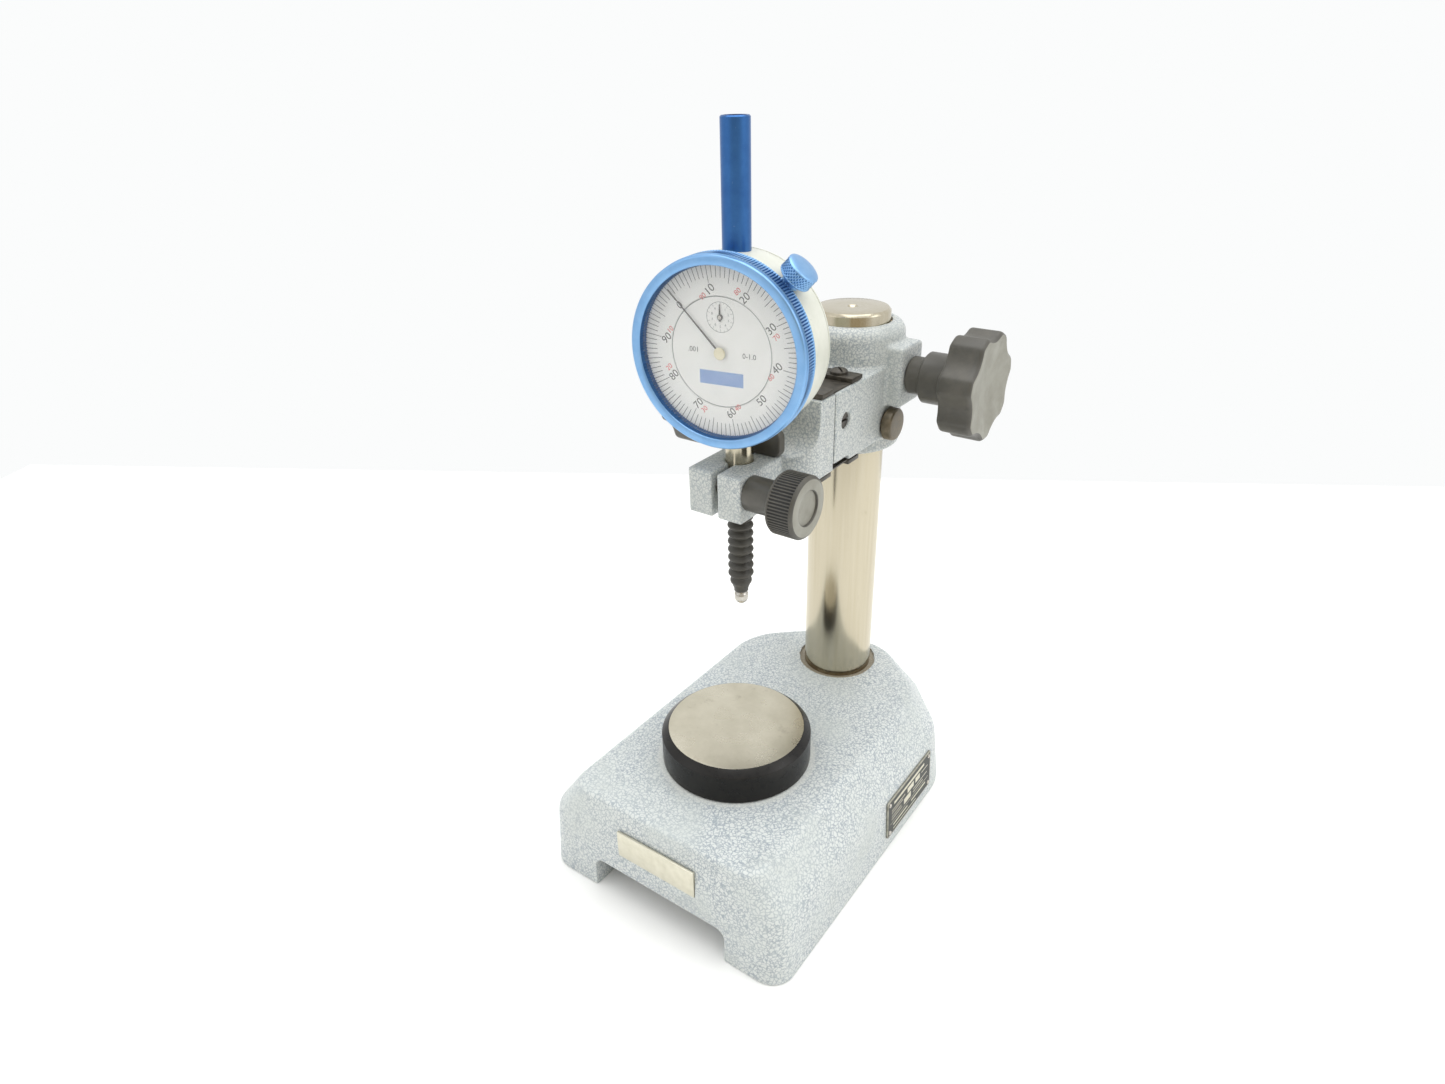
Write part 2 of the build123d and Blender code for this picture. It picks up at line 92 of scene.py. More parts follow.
def addNode(tree, kind, inputs=None):
    # takes settings, socket values and links alike; a node stands for its main output, and text for a colour
    node = tree.nodes.new("ShaderNode" + kind)
    for key, value in (inputs or {}).items():
        if isinstance(key, str) and hasattr(node, key):
            setattr(node, key, value)
        elif isinstance(value, bpy.types.Node):
            tree.links.new(mainOutput(value), node.inputs[key])
        elif isinstance(value, bpy.types.NodeSocket):
            tree.links.new(value, node.inputs[key])
        else:
            node.inputs[key].default_value = fromHex(value) if isinstance(value, str) else value
    return node


studio = {"sky": "FBFCFC", "skyStrength": 1.0, "warmSide": "B9AB90", "topPower": 9.5, "frontPower": 0.8,
          "sidePower": 1.8}


def lightStudio():
    world = bpy.data.worlds.new("white tent")
    scene.world = world
    world.use_nodes = True
    tree = world.node_tree
    sky = tree.nodes["Background"]
    way = addNode(tree, "TexCoord")
    # the open side of the tent is a little darker and warmer, which gives the steel something to mirror
    facing = addNode(tree, "VectorMath", {"operation": "DOT_PRODUCT", 0: way.outputs["Generated"],
                                          1: (0.62, -0.76, -0.15)})
    edge = addNode(tree, "MapRange", {"interpolation_type": "SMOOTHSTEP", "From Min": 0.55, "From Max": 0.97,
                                      "Value": facing})
    tint = addNode(tree, "Mix", {"data_type": "RGBA", "Factor": edge, "A": studio["sky"],
                                 "B": studio["warmSide"]})
    # the backdrop itself stays plain and pale from every side
    seen = addNode(tree, "LightPath")
    shown = addNode(tree, "Mix", {"data_type": "RGBA", "Factor": seen.outputs["Is Camera Ray"], "A": tint,
                                  "B": studio["sky"]})
    tree.links.new(mainOutput(shown), sky.inputs["Color"])
    sky.inputs["Strength"].default_value = studio["skyStrength"]
    for name, place, aim, size, power in (      # places and sizes in metres
            ("top softbox", (0.05, 0.1, 1.3), (0, 0.03, 0.05), 1.3, studio["topPower"]),
            ("front softbox", (-0.7, -0.9, 0.8), (0, 0.02, 0.12), 0.7, studio["frontPower"]),
            ("side softbox", (1.0, 0.3, 0.7), (0, 0.03, 0.12), 0.6, studio["sidePower"])):
        data = bpy.data.lights.new(name, "AREA")
        data.shape, data.size, data.energy = "SQUARE", size, power
        lamp = bpy.data.objects.new(name, data)
        away = Vector(place) - Vector(aim)
        lamp.matrix_world = Matrix.Translation(place) @ away.to_track_quat("Z", "Y").to_matrix().to_4x4()
        scene.collection.objects.link(lamp)
    scene.view_settings.view_transform = "Standard"


def layFloor():
    a = math.radians(camera["azimuth"])
    across, away = Vector((math.cos(a), math.sin(a), 0)), Vector((-math.sin(a), math.cos(a), 0))
    start = Vector((camera["place"][0], camera["place"][1], 0))
    corners = [(-0.577, 0.717), (2.6, 0.406), (2.6, -2.2), (-0.95, -2.2)]
    bm = bmesh.new()
    bm.faces.new([bm.verts.new(start * unit + across * u + away * v) for u, v in corners[::-1]])
    mesh = bpy.data.meshes.new("floor")
    bm.to_mesh(mesh)
    bm.free()
    floor = bpy.data.objects.new("floor", mesh)
    scene.collection.objects.link(floor)
    material = bpy.data.materials.new("matt white board")
    material.use_nodes = True
    tree = material.node_tree
    shader = tree.nodes["Principled BSDF"]
    way = addNode(tree, "TexCoord")
    grain = addNode(tree, "TexNoise", {"Scale": 6.0, "Detail": 3.0, "Vector": way.outputs["Object"]})
    tone = addNode(tree, "Mix", {"data_type": "RGBA", "Factor": grain, "A": "F8F8F6", "B": "FDFDFC"})
    tree.links.new(mainOutput(tone), shader.inputs["Base Color"])
    shader.inputs["Roughness"].default_value = 0.75
    shader.inputs["Specular IOR Level"].default_value = 0.2
    mesh.materials.append(material)


placeCamera()
lightStudio()
layFloor()
print("camera, floor and lights are set")


# materials: each pattern's size is worked out from a size in millimetres

def startMaterial(name, colour, roughness, metallic=0.0):
    # a Principled material and its own coordinates in millimetres
    material = bpy.data.materials.new(name)
    material.use_nodes = True
    tree = material.node_tree
    shader = tree.nodes["Principled BSDF"]
    shader.inputs["Base Color"].default_value = fromHex(colour)
    shader.inputs["Roughness"].default_value = roughness
    shader.inputs["Metallic"].default_value = metallic
    way = addNode(tree, "TexCoord")
    mm = addNode(tree, "Mapping", {"Scale": (1 / unit, 1 / unit, 1 / unit), "Vector": way.outputs["Object"]})
    return material, tree, shader, mm


def cloudOver(tree, mm, under, over, size, window, amount=1.0, detail=4.0):
    # drifts one colour over another in clouds of a size in millimetres; the window says how much of it shows
    cloud = addNode(tree, "TexNoise", {"Scale": 1 / size, "Detail": detail, "Roughness": 0.65, "Vector": mm})
    share = addNode(tree, "MapRange", {"From Min": window[0], "From Max": window[1], "To Max": amount,
                                       "Value": cloud})
    return addNode(tree, "Mix", {"data_type": "RGBA", "Factor": share, "A": under, "B": over})


def wornGloss(tree, mm, size, low, high, detail=4.0, window=(0.3, 0.7)):
    # the roughness drifts between two values in patches of a size in millimetres
    wear = addNode(tree, "TexNoise", {"Scale": 1 / size, "Detail": detail, "Vector": mm})
    return addNode(tree, "MapRange", {"From Min": window[0], "From Max": window[1], "To Min": low, "To Max": high,
                                      "Value": wear})


def toolMarks(tree, mm, perMm, detail, scale=1.0, turn=0.0):
    # noise drawn out into lines, with so many to the millimetre along each axis
    way = addNode(tree, "Mapping", {"Rotation": (0, 0, turn), "Scale": perMm, "Vector": mm})
    return addNode(tree, "TexNoise", {"Scale": scale, "Detail": detail, "Vector": way})


def dress(tree, shader, colour=None, roughness=None, height=None, depth=0.0, strength=0.5):
    # joins the finished colour, gloss and relief to the shader; the relief's depth is in millimetres
    relief = height and addNode(tree, "Bump", {"Strength": strength, "Distance": depth * unit, "Height": height})
    for key, node in (("Base Color", colour), ("Roughness", roughness), ("Normal", relief)):
        if node:
            tree.links.new(mainOutput(node), shader.inputs[key])


def hammerEnamel(name, cell, vein, calm, cellSize, veinEdge, depth, dirt, rustAndSeatHighlight=False):
    # Hammer-finish stoving enamel on cast iron: aluminium flake floats into pale cells a millimetre or so
    # across with thin blue-grey veins between them, so the surface is glossy, lively and slightly pebbled.
    material, tree, shader, mm = startMaterial(name, cell, 0.36)
    drift = addNode(tree, "TexNoise", {"Scale": 0.8 / cellSize, "Detail": 1.0, "Vector": mm})
    moved = addNode(tree, "VectorMath", {"operation": "MULTIPLY_ADD", 0: drift.outputs["Color"],
                                         1: [1.5 * cellSize] * 3, 2: mm})
    cells = addNode(tree, "TexVoronoi", {"feature": "DISTANCE_TO_EDGE", "Scale": 1 / cellSize, "Vector": moved})
    flake = addNode(tree, "MapRange", {"interpolation_type": "SMOOTHSTEP", "From Max": veinEdge, "Value": cells})
    colour = addNode(tree, "Mix", {"data_type": "RGBA", "Factor": flake, "A": vein, "B": cell})
    colour = cloudOver(tree, mm, colour, calm, 26.0, (0.45, 0.68), 0.55, 2.0)      # calmer, greyer areas
    colour = cloudOver(tree, mm, colour, "8F918A", 22.0, (0.56, 0.80), dirt)          # greasy dirt
    colour = cloudOver(tree, mm, colour, "4A4740", 1.8, (0.735, 0.76), 0.7, 5.0)     # nicks through the paint
    if rustAndSeatHighlight:     # grease and rust in the recess round the column
        flat = addNode(tree, "VectorMath", {"operation": "MULTIPLY", 0: mm, 1: (1, 1, 0)})
        reach = addNode(tree, "VectorMath", {"operation": "DISTANCE", 0: flat, 1: (0, 80.4, 0)})
        rough = addNode(tree, "TexNoise", {"Scale": 0.5, "Detail": 3.0, "Vector": mm})
        edge = addNode(tree, "Math", {"operation": "MULTIPLY_ADD", 0: rough, 1: 1.6, 2: reach})
        near = addNode(tree, "MapRange", {"From Min": 17.5, "From Max": 18.0, "To Min": 0.75, "To Max": 0.0,
                                          "Value": edge})
        colour = addNode(tree, "Mix", {"data_type": "RGBA", "Factor": near, "A": colour, "B": "7D6B45"})
        # a pale ring painted round the anvil's seat: a painted highlight where the edge of the recess catches the
        # light
        ring = addNode(tree, "Math", {"operation": "MULTIPLY_ADD", 0: rough, 1: 2.0,
                                      2: addNode(tree, "VectorMath", {"operation": "LENGTH", 0: flat})})
        seatHighlight = addNode(tree, "MapRange", {"From Min": 31.2, "From Max": 32.6, "To Min": 0.6, "To Max": 0.0,
                                          "Value": ring})
        colour = addNode(tree, "Mix", {"data_type": "RGBA", "Factor": seatHighlight, "A": colour, "B": "DBDDD8"})
    gloss = addNode(tree, "MapRange", {"To Min": 0.46, "To Max": 0.34, "Value": flake})
    dress(tree, shader, colour, gloss, flake, depth, 0.8)
    return material


def lappedSteel():
    # Hardened steel lapped flat: warm grey, finely scratched in all directions, with faint old stains.
    material, tree, shader, mm = startMaterial("lapped tool steel", "D4CEBC", 0.27, 1.0)
    colour = cloudOver(tree, mm, "D7D1BF", "C6C0AD", 16.0, (0.35, 0.70))
    colour = cloudOver(tree, mm, colour, "7A6D5A", 7.0, (0.61, 0.74), 0.30, 7.0)
    colour = cloudOver(tree, mm, colour, "554B40", 1.0, (0.71, 0.75), 0.45, 3.0)
    gloss = wornGloss(tree, mm, 14, 0.24, 0.36, 5.0, (0.3, 0.75))
    lines = toolMarks(tree, mm, (0.2, 2.5, 1), 1.0, turn=0.6)
    dress(tree, shader, colour, gloss, lines, 0.003)
    return material


def blackOxide(name, colour, shine, worn, metallic=0.35):
    # Hot black oxide on turned steel: deep brown-black, an oily sheen and places rubbed thin.
    material, tree, shader, mm = startMaterial(name, colour, shine, metallic)
    colour = cloudOver(tree, mm, colour, worn, 2.8, (0.40, 0.75))
    gloss = wornGloss(tree, mm, 2.8, shine - 0.06, shine + 0.1)
    dress(tree, shader, colour, gloss, toolMarks(tree, mm, (0.4, 0.4, 4), 2.0), 0.006, 0.4)
    return material


def polishedBar():
    # Centreless-ground and polished bar: a long mirror-like sheen with fine rings and old handling marks.
    material, tree, shader, mm = startMaterial("polished ground bar", "C9C1AC", 0.16, 1.0)
    drawn = toolMarks(tree, mm, (0.7, 0.7, 0.02), 3.0)
    streaks = addNode(tree, "MapRange", {"From Min": 0.3, "From Max": 0.7, "Value": drawn})
    colour = addNode(tree, "Mix", {"data_type": "RGBA", "Factor": streaks, "A": "BDB49E", "B": "C5BDA9"})
    colour = cloudOver(tree, mm, colour, "8B7F6C", 6.0, (0.64, 0.73), 0.22, 6.0)
    height = addNode(tree, "SeparateXYZ", {"Vector": mm})
    # a dull brown bloom low on the bar, where it meets the casting
    bloom = addNode(tree, "TexNoise", {"Scale": 0.2, "Detail": 6.0, "Vector": mm})
    foot = addNode(tree, "Math", {"operation": "MULTIPLY_ADD", 0: bloom, 1: 7.0, 2: height.outputs["Z"]})
    low = addNode(tree, "MapRange", {"From Min": 46.4, "From Max": 49.4, "To Min": 0.65, "To Max": 0.0,
                                     "Value": foot})
    colour = addNode(tree, "Mix", {"data_type": "RGBA", "Factor": low, "A": colour, "B": "6B5236"})
    gloss = addNode(tree, "MapRange", {"From Min": 0.3, "From Max": 0.7, "To Min": 0.18, "To Max": 0.22,
                                       "Value": drawn})
    dress(tree, shader, colour, gloss, toolMarks(tree, mm, (0.02, 0.02, 3.0), 2.0), 0.004, 0.3)
    return material


def mouldedPlastic(name, colour, bloom, sheen, grain):
    # Compression-moulded phenolic: nearly black, satin, with a fine texture and a grey bloom from handling.
    material, tree, shader, mm = startMaterial(name, colour, sheen)
    colour = cloudOver(tree, mm, colour, bloom, 8.0, (0.40, 0.75))
    gloss = wornGloss(tree, mm, 8, sheen - 0.06, sheen + 0.08)
    texture = addNode(tree, "TexNoise", {"Scale": 2.4, "Detail": 3.0, "Vector": mm})
    dress(tree, shader, colour, gloss, texture, grain)
    return material


def dyedAnodising(name, light, deep, sheen):
    # Dyed anodised aluminium: the metal shines through a clear blue film, with very fine turning marks.
    material, tree, shader, mm = startMaterial(name, light, sheen, 0.85)
    colour = cloudOver(tree, mm, light, deep, 5.0, (0.30, 0.75))
    colour = cloudOver(tree, mm, colour, "A9C6EC", 1.25, (0.69, 0.75), 0.5, 5.0)      # rubbed through
    turned = addNode(tree, "TexNoise", {"Scale": 3.2, "Detail": 2.0, "Vector": mm})
    dress(tree, shader, colour, None, turned, 0.012, 0.4)
    return material


def ivoryEnamel():
    # Baked ivory enamel on an aluminium case: smooth, warm white, with small grey chips from years of use.
    material, tree, shader, mm = startMaterial("ivory baked enamel", "D6D7CB", 0.38)
    colour = cloudOver(tree, mm, "D8D9CE", "C9CBBD", 10.0, (0.35, 0.75))
    colour = cloudOver(tree, mm, colour, "75776E", 1.35, (0.70, 0.73), 0.8)
    peel = addNode(tree, "TexNoise", {"Scale": 0.9, "Detail": 2.0, "Vector": mm})
    dress(tree, shader, colour, None, peel, 0.03, 0.4)
    return material


def machinedMetal(name, colour, second, sheen, lines=(1, 1, 1), depth=0.01):
    # Machined metal with fine tool marks, which run the way that the noise is stretched.
    material, tree, shader, mm = startMaterial(name, colour, sheen, 1.0)
    colour = cloudOver(tree, mm, colour, second, 3.3, (0.35, 0.70))
    gloss = wornGloss(tree, mm, 10 / 3, sheen - 0.05, sheen + 0.1, 5.0)
    dress(tree, shader, colour, gloss, toolMarks(tree, mm, lines, 2.0, 2.0), depth)
    return material


def printedEnamel(name, colour, second, sheen):
    # Enamel or ink on a thin dial sheet: even and matt with the faintest mottle.
    material, tree, shader, mm = startMaterial(name, colour, sheen)
    colour = cloudOver(tree, mm, colour, second, 4.0, (0.35, 0.75))
    grain = addNode(tree, "TexNoise", {"Scale": 3.5, "Detail": 2.0, "Vector": mm})
    dress(tree, shader, colour, None, grain, 0.006, 0.4)
    return material


def watchCrystal():
    # Acrylic watch crystal: clear, IOR 1.49, polished, with a haze of fine rubbing marks.
    material, tree, shader, mm = startMaterial("clear acrylic crystal", "FFFFFF", 0.03)
    shader.inputs["Transmission Weight"].default_value = 0.96     # the rest is a milky haze
    shader.inputs["IOR"].default_value = 1.49
    haze = addNode(tree, "TexNoise", {"Scale": 0.3, "Detail": 6.0, "Roughness": 0.7, "Vector": mm})
    gloss = addNode(tree, "MapRange", {"From Min": 0.45, "From Max": 0.8, "To Min": 0.015, "To Max": 0.09,
                                       "Value": haze})
    dress(tree, shader, None, gloss)
    return material


finishes = {
    # the base's enamel also has rust round the column and a painted highlight round the anvil's seat
    "hammertone_paint": hammerEnamel("blue-grey hammer enamel", "D2D6D4", "99A3AB", "C4CAC7", 1.45, 0.17, 0.05,
                                    0.20, True),
    "arm_paint": hammerEnamel("hammer enamel over machined faces", "C4C7C3", "949CA1", "B4B9B6", 1.25, 0.17, 0.03,
                              0.35),
    "ground_steel": lappedSteel(),
    "black_oxide": blackOxide("hot black oxide", "100E0C", 0.30, "1B1814"),
    "column_steel": polishedBar(),
    "black_plastic": mouldedPlastic("black phenolic moulding", "484640", "5A574F", 0.42, 0.02),
    # a lighter grey given to the knobs' end faces
    "pale_face_plastic": mouldedPlastic("phenolic end face in a lighter grey", "908F85", "817F75", 0.50, 0.02),
    # painted shade: the next two finishes are dark fills for the bottoms of knurled grooves
    "groove_shade_plastic": mouldedPlastic("phenolic grooves painted dark as shade", "151412", "24221F", 0.55, 0.02),
    "groove_shade_blue": dyedAnodising("anodised grooves painted dark as shade", "3F6FA6", "32609A", 0.42),
    "blued_steel": blackOxide("blued spring steel", "3A3732", 0.36, "5C564C"),
    "brown_steel": blackOxide("browned steel plug", "5A5242", 0.36, "7A6E5A"),
    "blue_anodised": dyedAnodising("blue anodised aluminium", "8AB4DE", "78A5D4", 0.34),
    "deep_blue": dyedAnodising("deep blue anodised tube", "3B6BA6", "325E98", 0.30),
    "ivory_paint": ivoryEnamel(),
    "brass": machinedMetal("turned brass", "C9A765", "A98A4E", 0.30, (1, 6, 1)),
    "pale_brass": machinedMetal("pale lacquered brass boss", "E6E0C6", "DAD3B6", 0.40, (1, 6, 1)),
    "bronze": machinedMetal("cast bronze bush", "A6824F", "876638", 0.34, (1, 1, 5)),
    "steel_small": machinedMetal("bright turned steel", "C8C4BC", "A8A49C", 0.22, (1, 1, 6)),
    "plate_silver": machinedMetal("satin nickel plate", "DBD7C6", "D1CDBB", 0.38, (0.3, 1, 6), 0.005),
    "worn_nickel": machinedMetal("dulled nickel plate", "B5B3A6", "8D8B80", 0.42, (0.3, 1, 6), 0.005),
    "dial_white": printedEnamel("white dial enamel", "FDFEFC", "F7F9F6", 0.45),
    "hand_black": printedEnamel("black hand lacquer", "1B1A19", "2A2826", 0.40),
    "ink_black": printedEnamel("black printing ink", "2A2B2C", "3A3B3C", 0.55),
    "ink_red": printedEnamel("red printing ink", "D8322F", "E04B46", 0.55),
    "ink_grey": printedEnamel("grey printing ink", "8B9090", "9BA0A0", 0.55),
    "label_blue": printedEnamel("blue printed label", "7CA2DC", "94B4E4", 0.5),
    "etch_dark": printedEnamel("dark etched fill", "2B2D2B", "3C3E39", 0.5),
    "boot_rubber": mouldedPlastic("soft black rubber", "3B3934", "4A4841", 0.44, 0.02),
    "crystal_clear": watchCrystal(),
}
print("materials:", len(finishes))

for name, node in nodes.items():
    for place in node.material_slots:
        place.material = finishes[place.material.name.split(".")[0]]
for name, finish in {"guard_tube": "deep_blue", "tube_cap": "deep_blue", "feed_shaft": "blued_steel",
                     "counter_wheel": "steel_small"}.items():
    for place in nodes[name].material_slots:
        place.material = finishes[finish]


# one finishing step for every new piece

def linkMesh(bm, name):
    mesh = bpy.data.meshes.new(name)
    bm.to_mesh(mesh)
    bm.free()
    thing = bpy.data.objects.new(name, mesh)
    scene.collection.objects.link(thing)
    return thing


def discard(thing):
    mesh = thing.data
    bpy.data.objects.remove(thing)
    bpy.data.meshes.remove(mesh)


def finishPiece(bm, name, body, finish, replaced=(), place=None, smooth=35):
    if place is not None:
        bmesh.ops.transform(bm, matrix=place, verts=bm.verts)
    bmesh.ops.scale(bm, vec=(unit, unit, unit), verts=bm.verts)
    piece = linkMesh(bm, name)
    mesh = piece.data
    mesh.shade_smooth()
    mesh.set_sharp_from_angle(angle=math.radians(smooth))
    for one in ([finish] if isinstance(finish, str) else finish):
        mesh.materials.append(finishes[one])
    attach(piece, body)
    if replaced:
        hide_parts(*replaced)
    return piece


def roundOff(bm, geom, width, segments, affect="EDGES", clamp=False):
    bmesh.ops.bevel(bm, geom=geom, offset=width, offset_type="OFFSET", segments=segments, profile=0.5,
                    affect=affect, material=-1, clamp_overlap=clamp)


def soften(bm, width, angle=30, segments=3, chosen=None):
    # rounds every edge sharper than the angle, or only the chosen ones
    edges = [e for e in bm.edges if len(e.link_faces) == 2 and e.calc_face_angle(0) > math.radians(angle)
             and (chosen is None or chosen(e))]
    roundOff(bm, edges, width, segments, clamp=True)


def placed(spot, turn=0.0, axis="Z"):
    return Matrix.Translation(spot) @ Matrix.Rotation(turn, 4, axis)


def turnOn(bm, profile, steps, closed=False):
    # spins (radius, height) points round Z
    points = [bm.verts.new((r, 0, h)) for r, h in profile]
    pairs = list(zip(points, points[1:])) + ([(points[-1], points[0])] if closed else [])
    edges = [bm.edges.new(pair) for pair in pairs]
    bmesh.ops.spin(bm, geom=points + edges, cent=(0, 0, 0), axis=(0, 0, 1), dvec=(0, 0, 0),
                   angle=2 * math.pi, steps=steps, use_merge=True, use_duplicate=False)


def turned(profile, steps=96, closed=False):
    bm = bmesh.new()
    turnOn(bm, profile, steps, closed)
    bmesh.ops.remove_doubles(bm, verts=bm.verts, dist=0.0005)
    bmesh.ops.recalc_face_normals(bm, faces=bm.faces)
    return bm


def absorb(bm, extra, place=None):
    # puts one mesh's shapes into another
    if place is not None:
        bmesh.ops.transform(extra, matrix=place, verts=extra.verts)
    mesh = bpy.data.meshes.new("part")
    extra.to_mesh(mesh)
    extra.free()
    bm.from_mesh(mesh)
    bpy.data.meshes.remove(mesh)


def addTurned(bm, profile, steps=96, place=None, closed=False):
    # a turned shell as a separate shape in the same mesh
    absorb(bm, turned(profile, steps, closed), place)


def addBox(bm, low, high):
    made = bmesh.ops.create_cube(bm, size=1)
    size = [h - l for l, h in zip(low, high)]
    bmesh.ops.scale(bm, vec=size, verts=made["verts"])
    bmesh.ops.translate(bm, vec=[(l + h) / 2 for l, h in zip(low, high)], verts=made["verts"])
    return made["verts"]


def reMetre(bm):
    # from millimetres to metres
    bmesh.ops.scale(bm, vec=(unit,) * 3, verts=bm.verts)
    return bm


def nodeCopy(name):
    # a merged copy of a CAD node, in millimetres
    bm = bmesh.new()
    bm.from_mesh(nodes[name].data)
    bmesh.ops.scale(bm, vec=(1 / unit,) * 3, verts=bm.verts)
    bmesh.ops.remove_doubles(bm, verts=bm.verts, dist=0.0008)
    return bm


def applied(thing):
    # the mesh of an object with its modifiers applied; the object is removed
    graph = bpy.context.evaluated_depsgraph_get()
    mesh = bpy.data.meshes.new_from_object(thing.evaluated_get(graph))
    discard(thing)
    bm = bmesh.new()
    bm.from_mesh(mesh)
    bpy.data.meshes.remove(mesh)
    return bm


def castSurface(bm, name, grain, passes):
    # gives a sharp solid the soft edges of a casting: an even skin of small faces, relaxed a little
    thing = linkMesh(bm, name)
    skin = thing.modifiers.new("skin", "REMESH")
    skin.mode, skin.voxel_size = "VOXEL", grain
    bm = applied(thing)
    for i in range(passes):
        bmesh.ops.smooth_vert(bm, verts=bm.verts, factor=0.5, use_axis_x=True, use_axis_y=True, use_axis_z=True)
    bmesh.ops.recalc_face_normals(bm, faces=bm.faces)
    return bm


def cutAway(bm, name, cutters):
    # takes every cutter's shape out of the solid
    thing = linkMesh(bm, name)
    tools = []
    for i, cutter in enumerate(cutters):
        bmesh.ops.recalc_face_normals(cutter, faces=cutter.faces)
        tool = linkMesh(cutter, f"{name}Cutter{i}")
        cut = thing.modifiers.new(f"cut{i}", "BOOLEAN")
        cut.operation, cut.solver, cut.object = "DIFFERENCE", "EXACT", tool
        tools.append(tool)
    bm = applied(thing)
    for tool in tools:
        discard(tool)
    return bm


def cutterBox(low, high, corner=0.0, along=2):
    # a box to cut with, its edges along one axis rounded
    bm = bmesh.new()
    addBox(bm, low, high)
    if corner:
        edges = [e for e in bm.edges if abs((e.verts[0].co - e.verts[1].co)[along]) > 0.5]
        roundOff(bm, edges, corner, 6)
    return bm


def cutterRod(radius, start, end, steps=64):
    bm = bmesh.new()
    start, end = Vector(start), Vector(end)
    way = end - start
    place = Matrix.Translation((start + end) / 2) @ way.to_track_quat("Z", "Y").to_matrix().to_4x4()
    bmesh.ops.create_cone(bm, cap_ends=True, segments=steps, radius1=radius, radius2=radius, depth=way.length,
                          matrix=place)
    return bm


# the heavy cast base

base = {"width": 110, "front": -53.7, "back": 106, "shoulder": 28, "top": 43.6, "topWidth": 85,
        "frontRound": 9, "flankRound": 24, "noseRound": 16, "topRound": 1.9, "shoulderRound": 2.6,
        "footRound": 0.9, "column": (0, 80.4)}


def basePlan(width, front, back, sideEnd, nose):
    return [(-width / 2, front), (width / 2, front), (width / 2, sideEnd), (nose, back), (-nose, back),
            (-width / 2, sideEnd)]


def edgesAt(bm, height):
    return [e for e in bm.edges if all(abs(v.co.z - height) < 0.01 for v in e.verts)]


def addLevel(bm, plan, height):
    # one flat outline of the base, its corners rounded to their own radii
    bm.faces.new([bm.verts.new((x, y, height)) for x, y in plan])
    rear = max(y for x, y in plan)
    for radius, share in ((base["frontRound"], lambda v: v.co.y < 0),
                          (base["noseRound"], lambda v: v.co.y > rear - 0.1),
                          (base["flankRound"], lambda v: 60 < v.co.y < rear - 3 and v.calc_edge_angle() > 0.5)):
        corners = [v for v in bm.verts if abs(v.co.z - height) < 0.01 and share(v) and v.calc_edge_angle() > 0.5]
        roundOff(bm, corners, radius * math.tan(corners[0].calc_edge_angle() / 2), 9, "VERTICES")
    return edgesAt(bm, height)


def makeBase():
    w, f, b = base["width"], base["front"], base["back"]
    bm = bmesh.new()
    low = addLevel(bm, basePlan(w, f, b, 79, 34), 0.0)
    middle = addLevel(bm, basePlan(w - 3, f + 1.2, b - 1.5, 75.5, 28), base["shoulder"])
    high = addLevel(bm, basePlan(base["topWidth"], f + 3.4, b - 7, 74.5, 14), base["top"])
    bmesh.ops.bridge_loops(bm, edges=low + middle)
    bmesh.ops.bridge_loops(bm, edges=middle + high)
    inside = [face for face in bm.faces if all(abs(v.co.z - base["shoulder"]) < 0.01 for v in face.verts)]
    bmesh.ops.delete(bm, geom=inside, context="FACES_ONLY")
    bmesh.ops.recalc_face_normals(bm, faces=bm.faces)

    for height, width, segments in ((base["top"], base["topRound"], 5),
                                    (base["shoulder"], base["shoulderRound"], 5), (0, base["footRound"], 3)):
        roundOff(bm, edgesAt(bm, height), width, segments)
    x, y = base["column"]
    cutters = [cutterBox((-43, -43, -1), (43, 58, 29), 6),
               cutterBox((-30, -60, -5), (31, -40, 13.9), 4, 1),
               cutterRod(14.68, (x, y, 12), (x, y, 60), 96), cutterRod(16.9, (x, y, 42.9), (x, y, 60), 96),
               cutterRod(4.25, (0, 0, 20), (0, 0, 60), 32),
               cutterRod(3.08, (x, y + 10, 26), (x, y + 40, 26), 32),
               cutterBox((-17.4, f - 1, 23), (18.4, f + 1.75, 35), 0.5, 1)]
    bm = cutAway(bm, "base", cutters)
    bmesh.ops.remove_doubles(bm, verts=bm.verts, dist=0.01)
    bmesh.ops.recalc_face_normals(bm, faces=bm.faces)
    soften(bm, 0.8, 50, 2, lambda e: all(v.co.y < -40 and v.co.z < 14.5 for v in e.verts)
           and not all(v.co.z < 0.01 for v in e.verts))
    return finishPiece(bm, "base", "stand", "hammertone_paint", ["base_casting"])


makeBase()


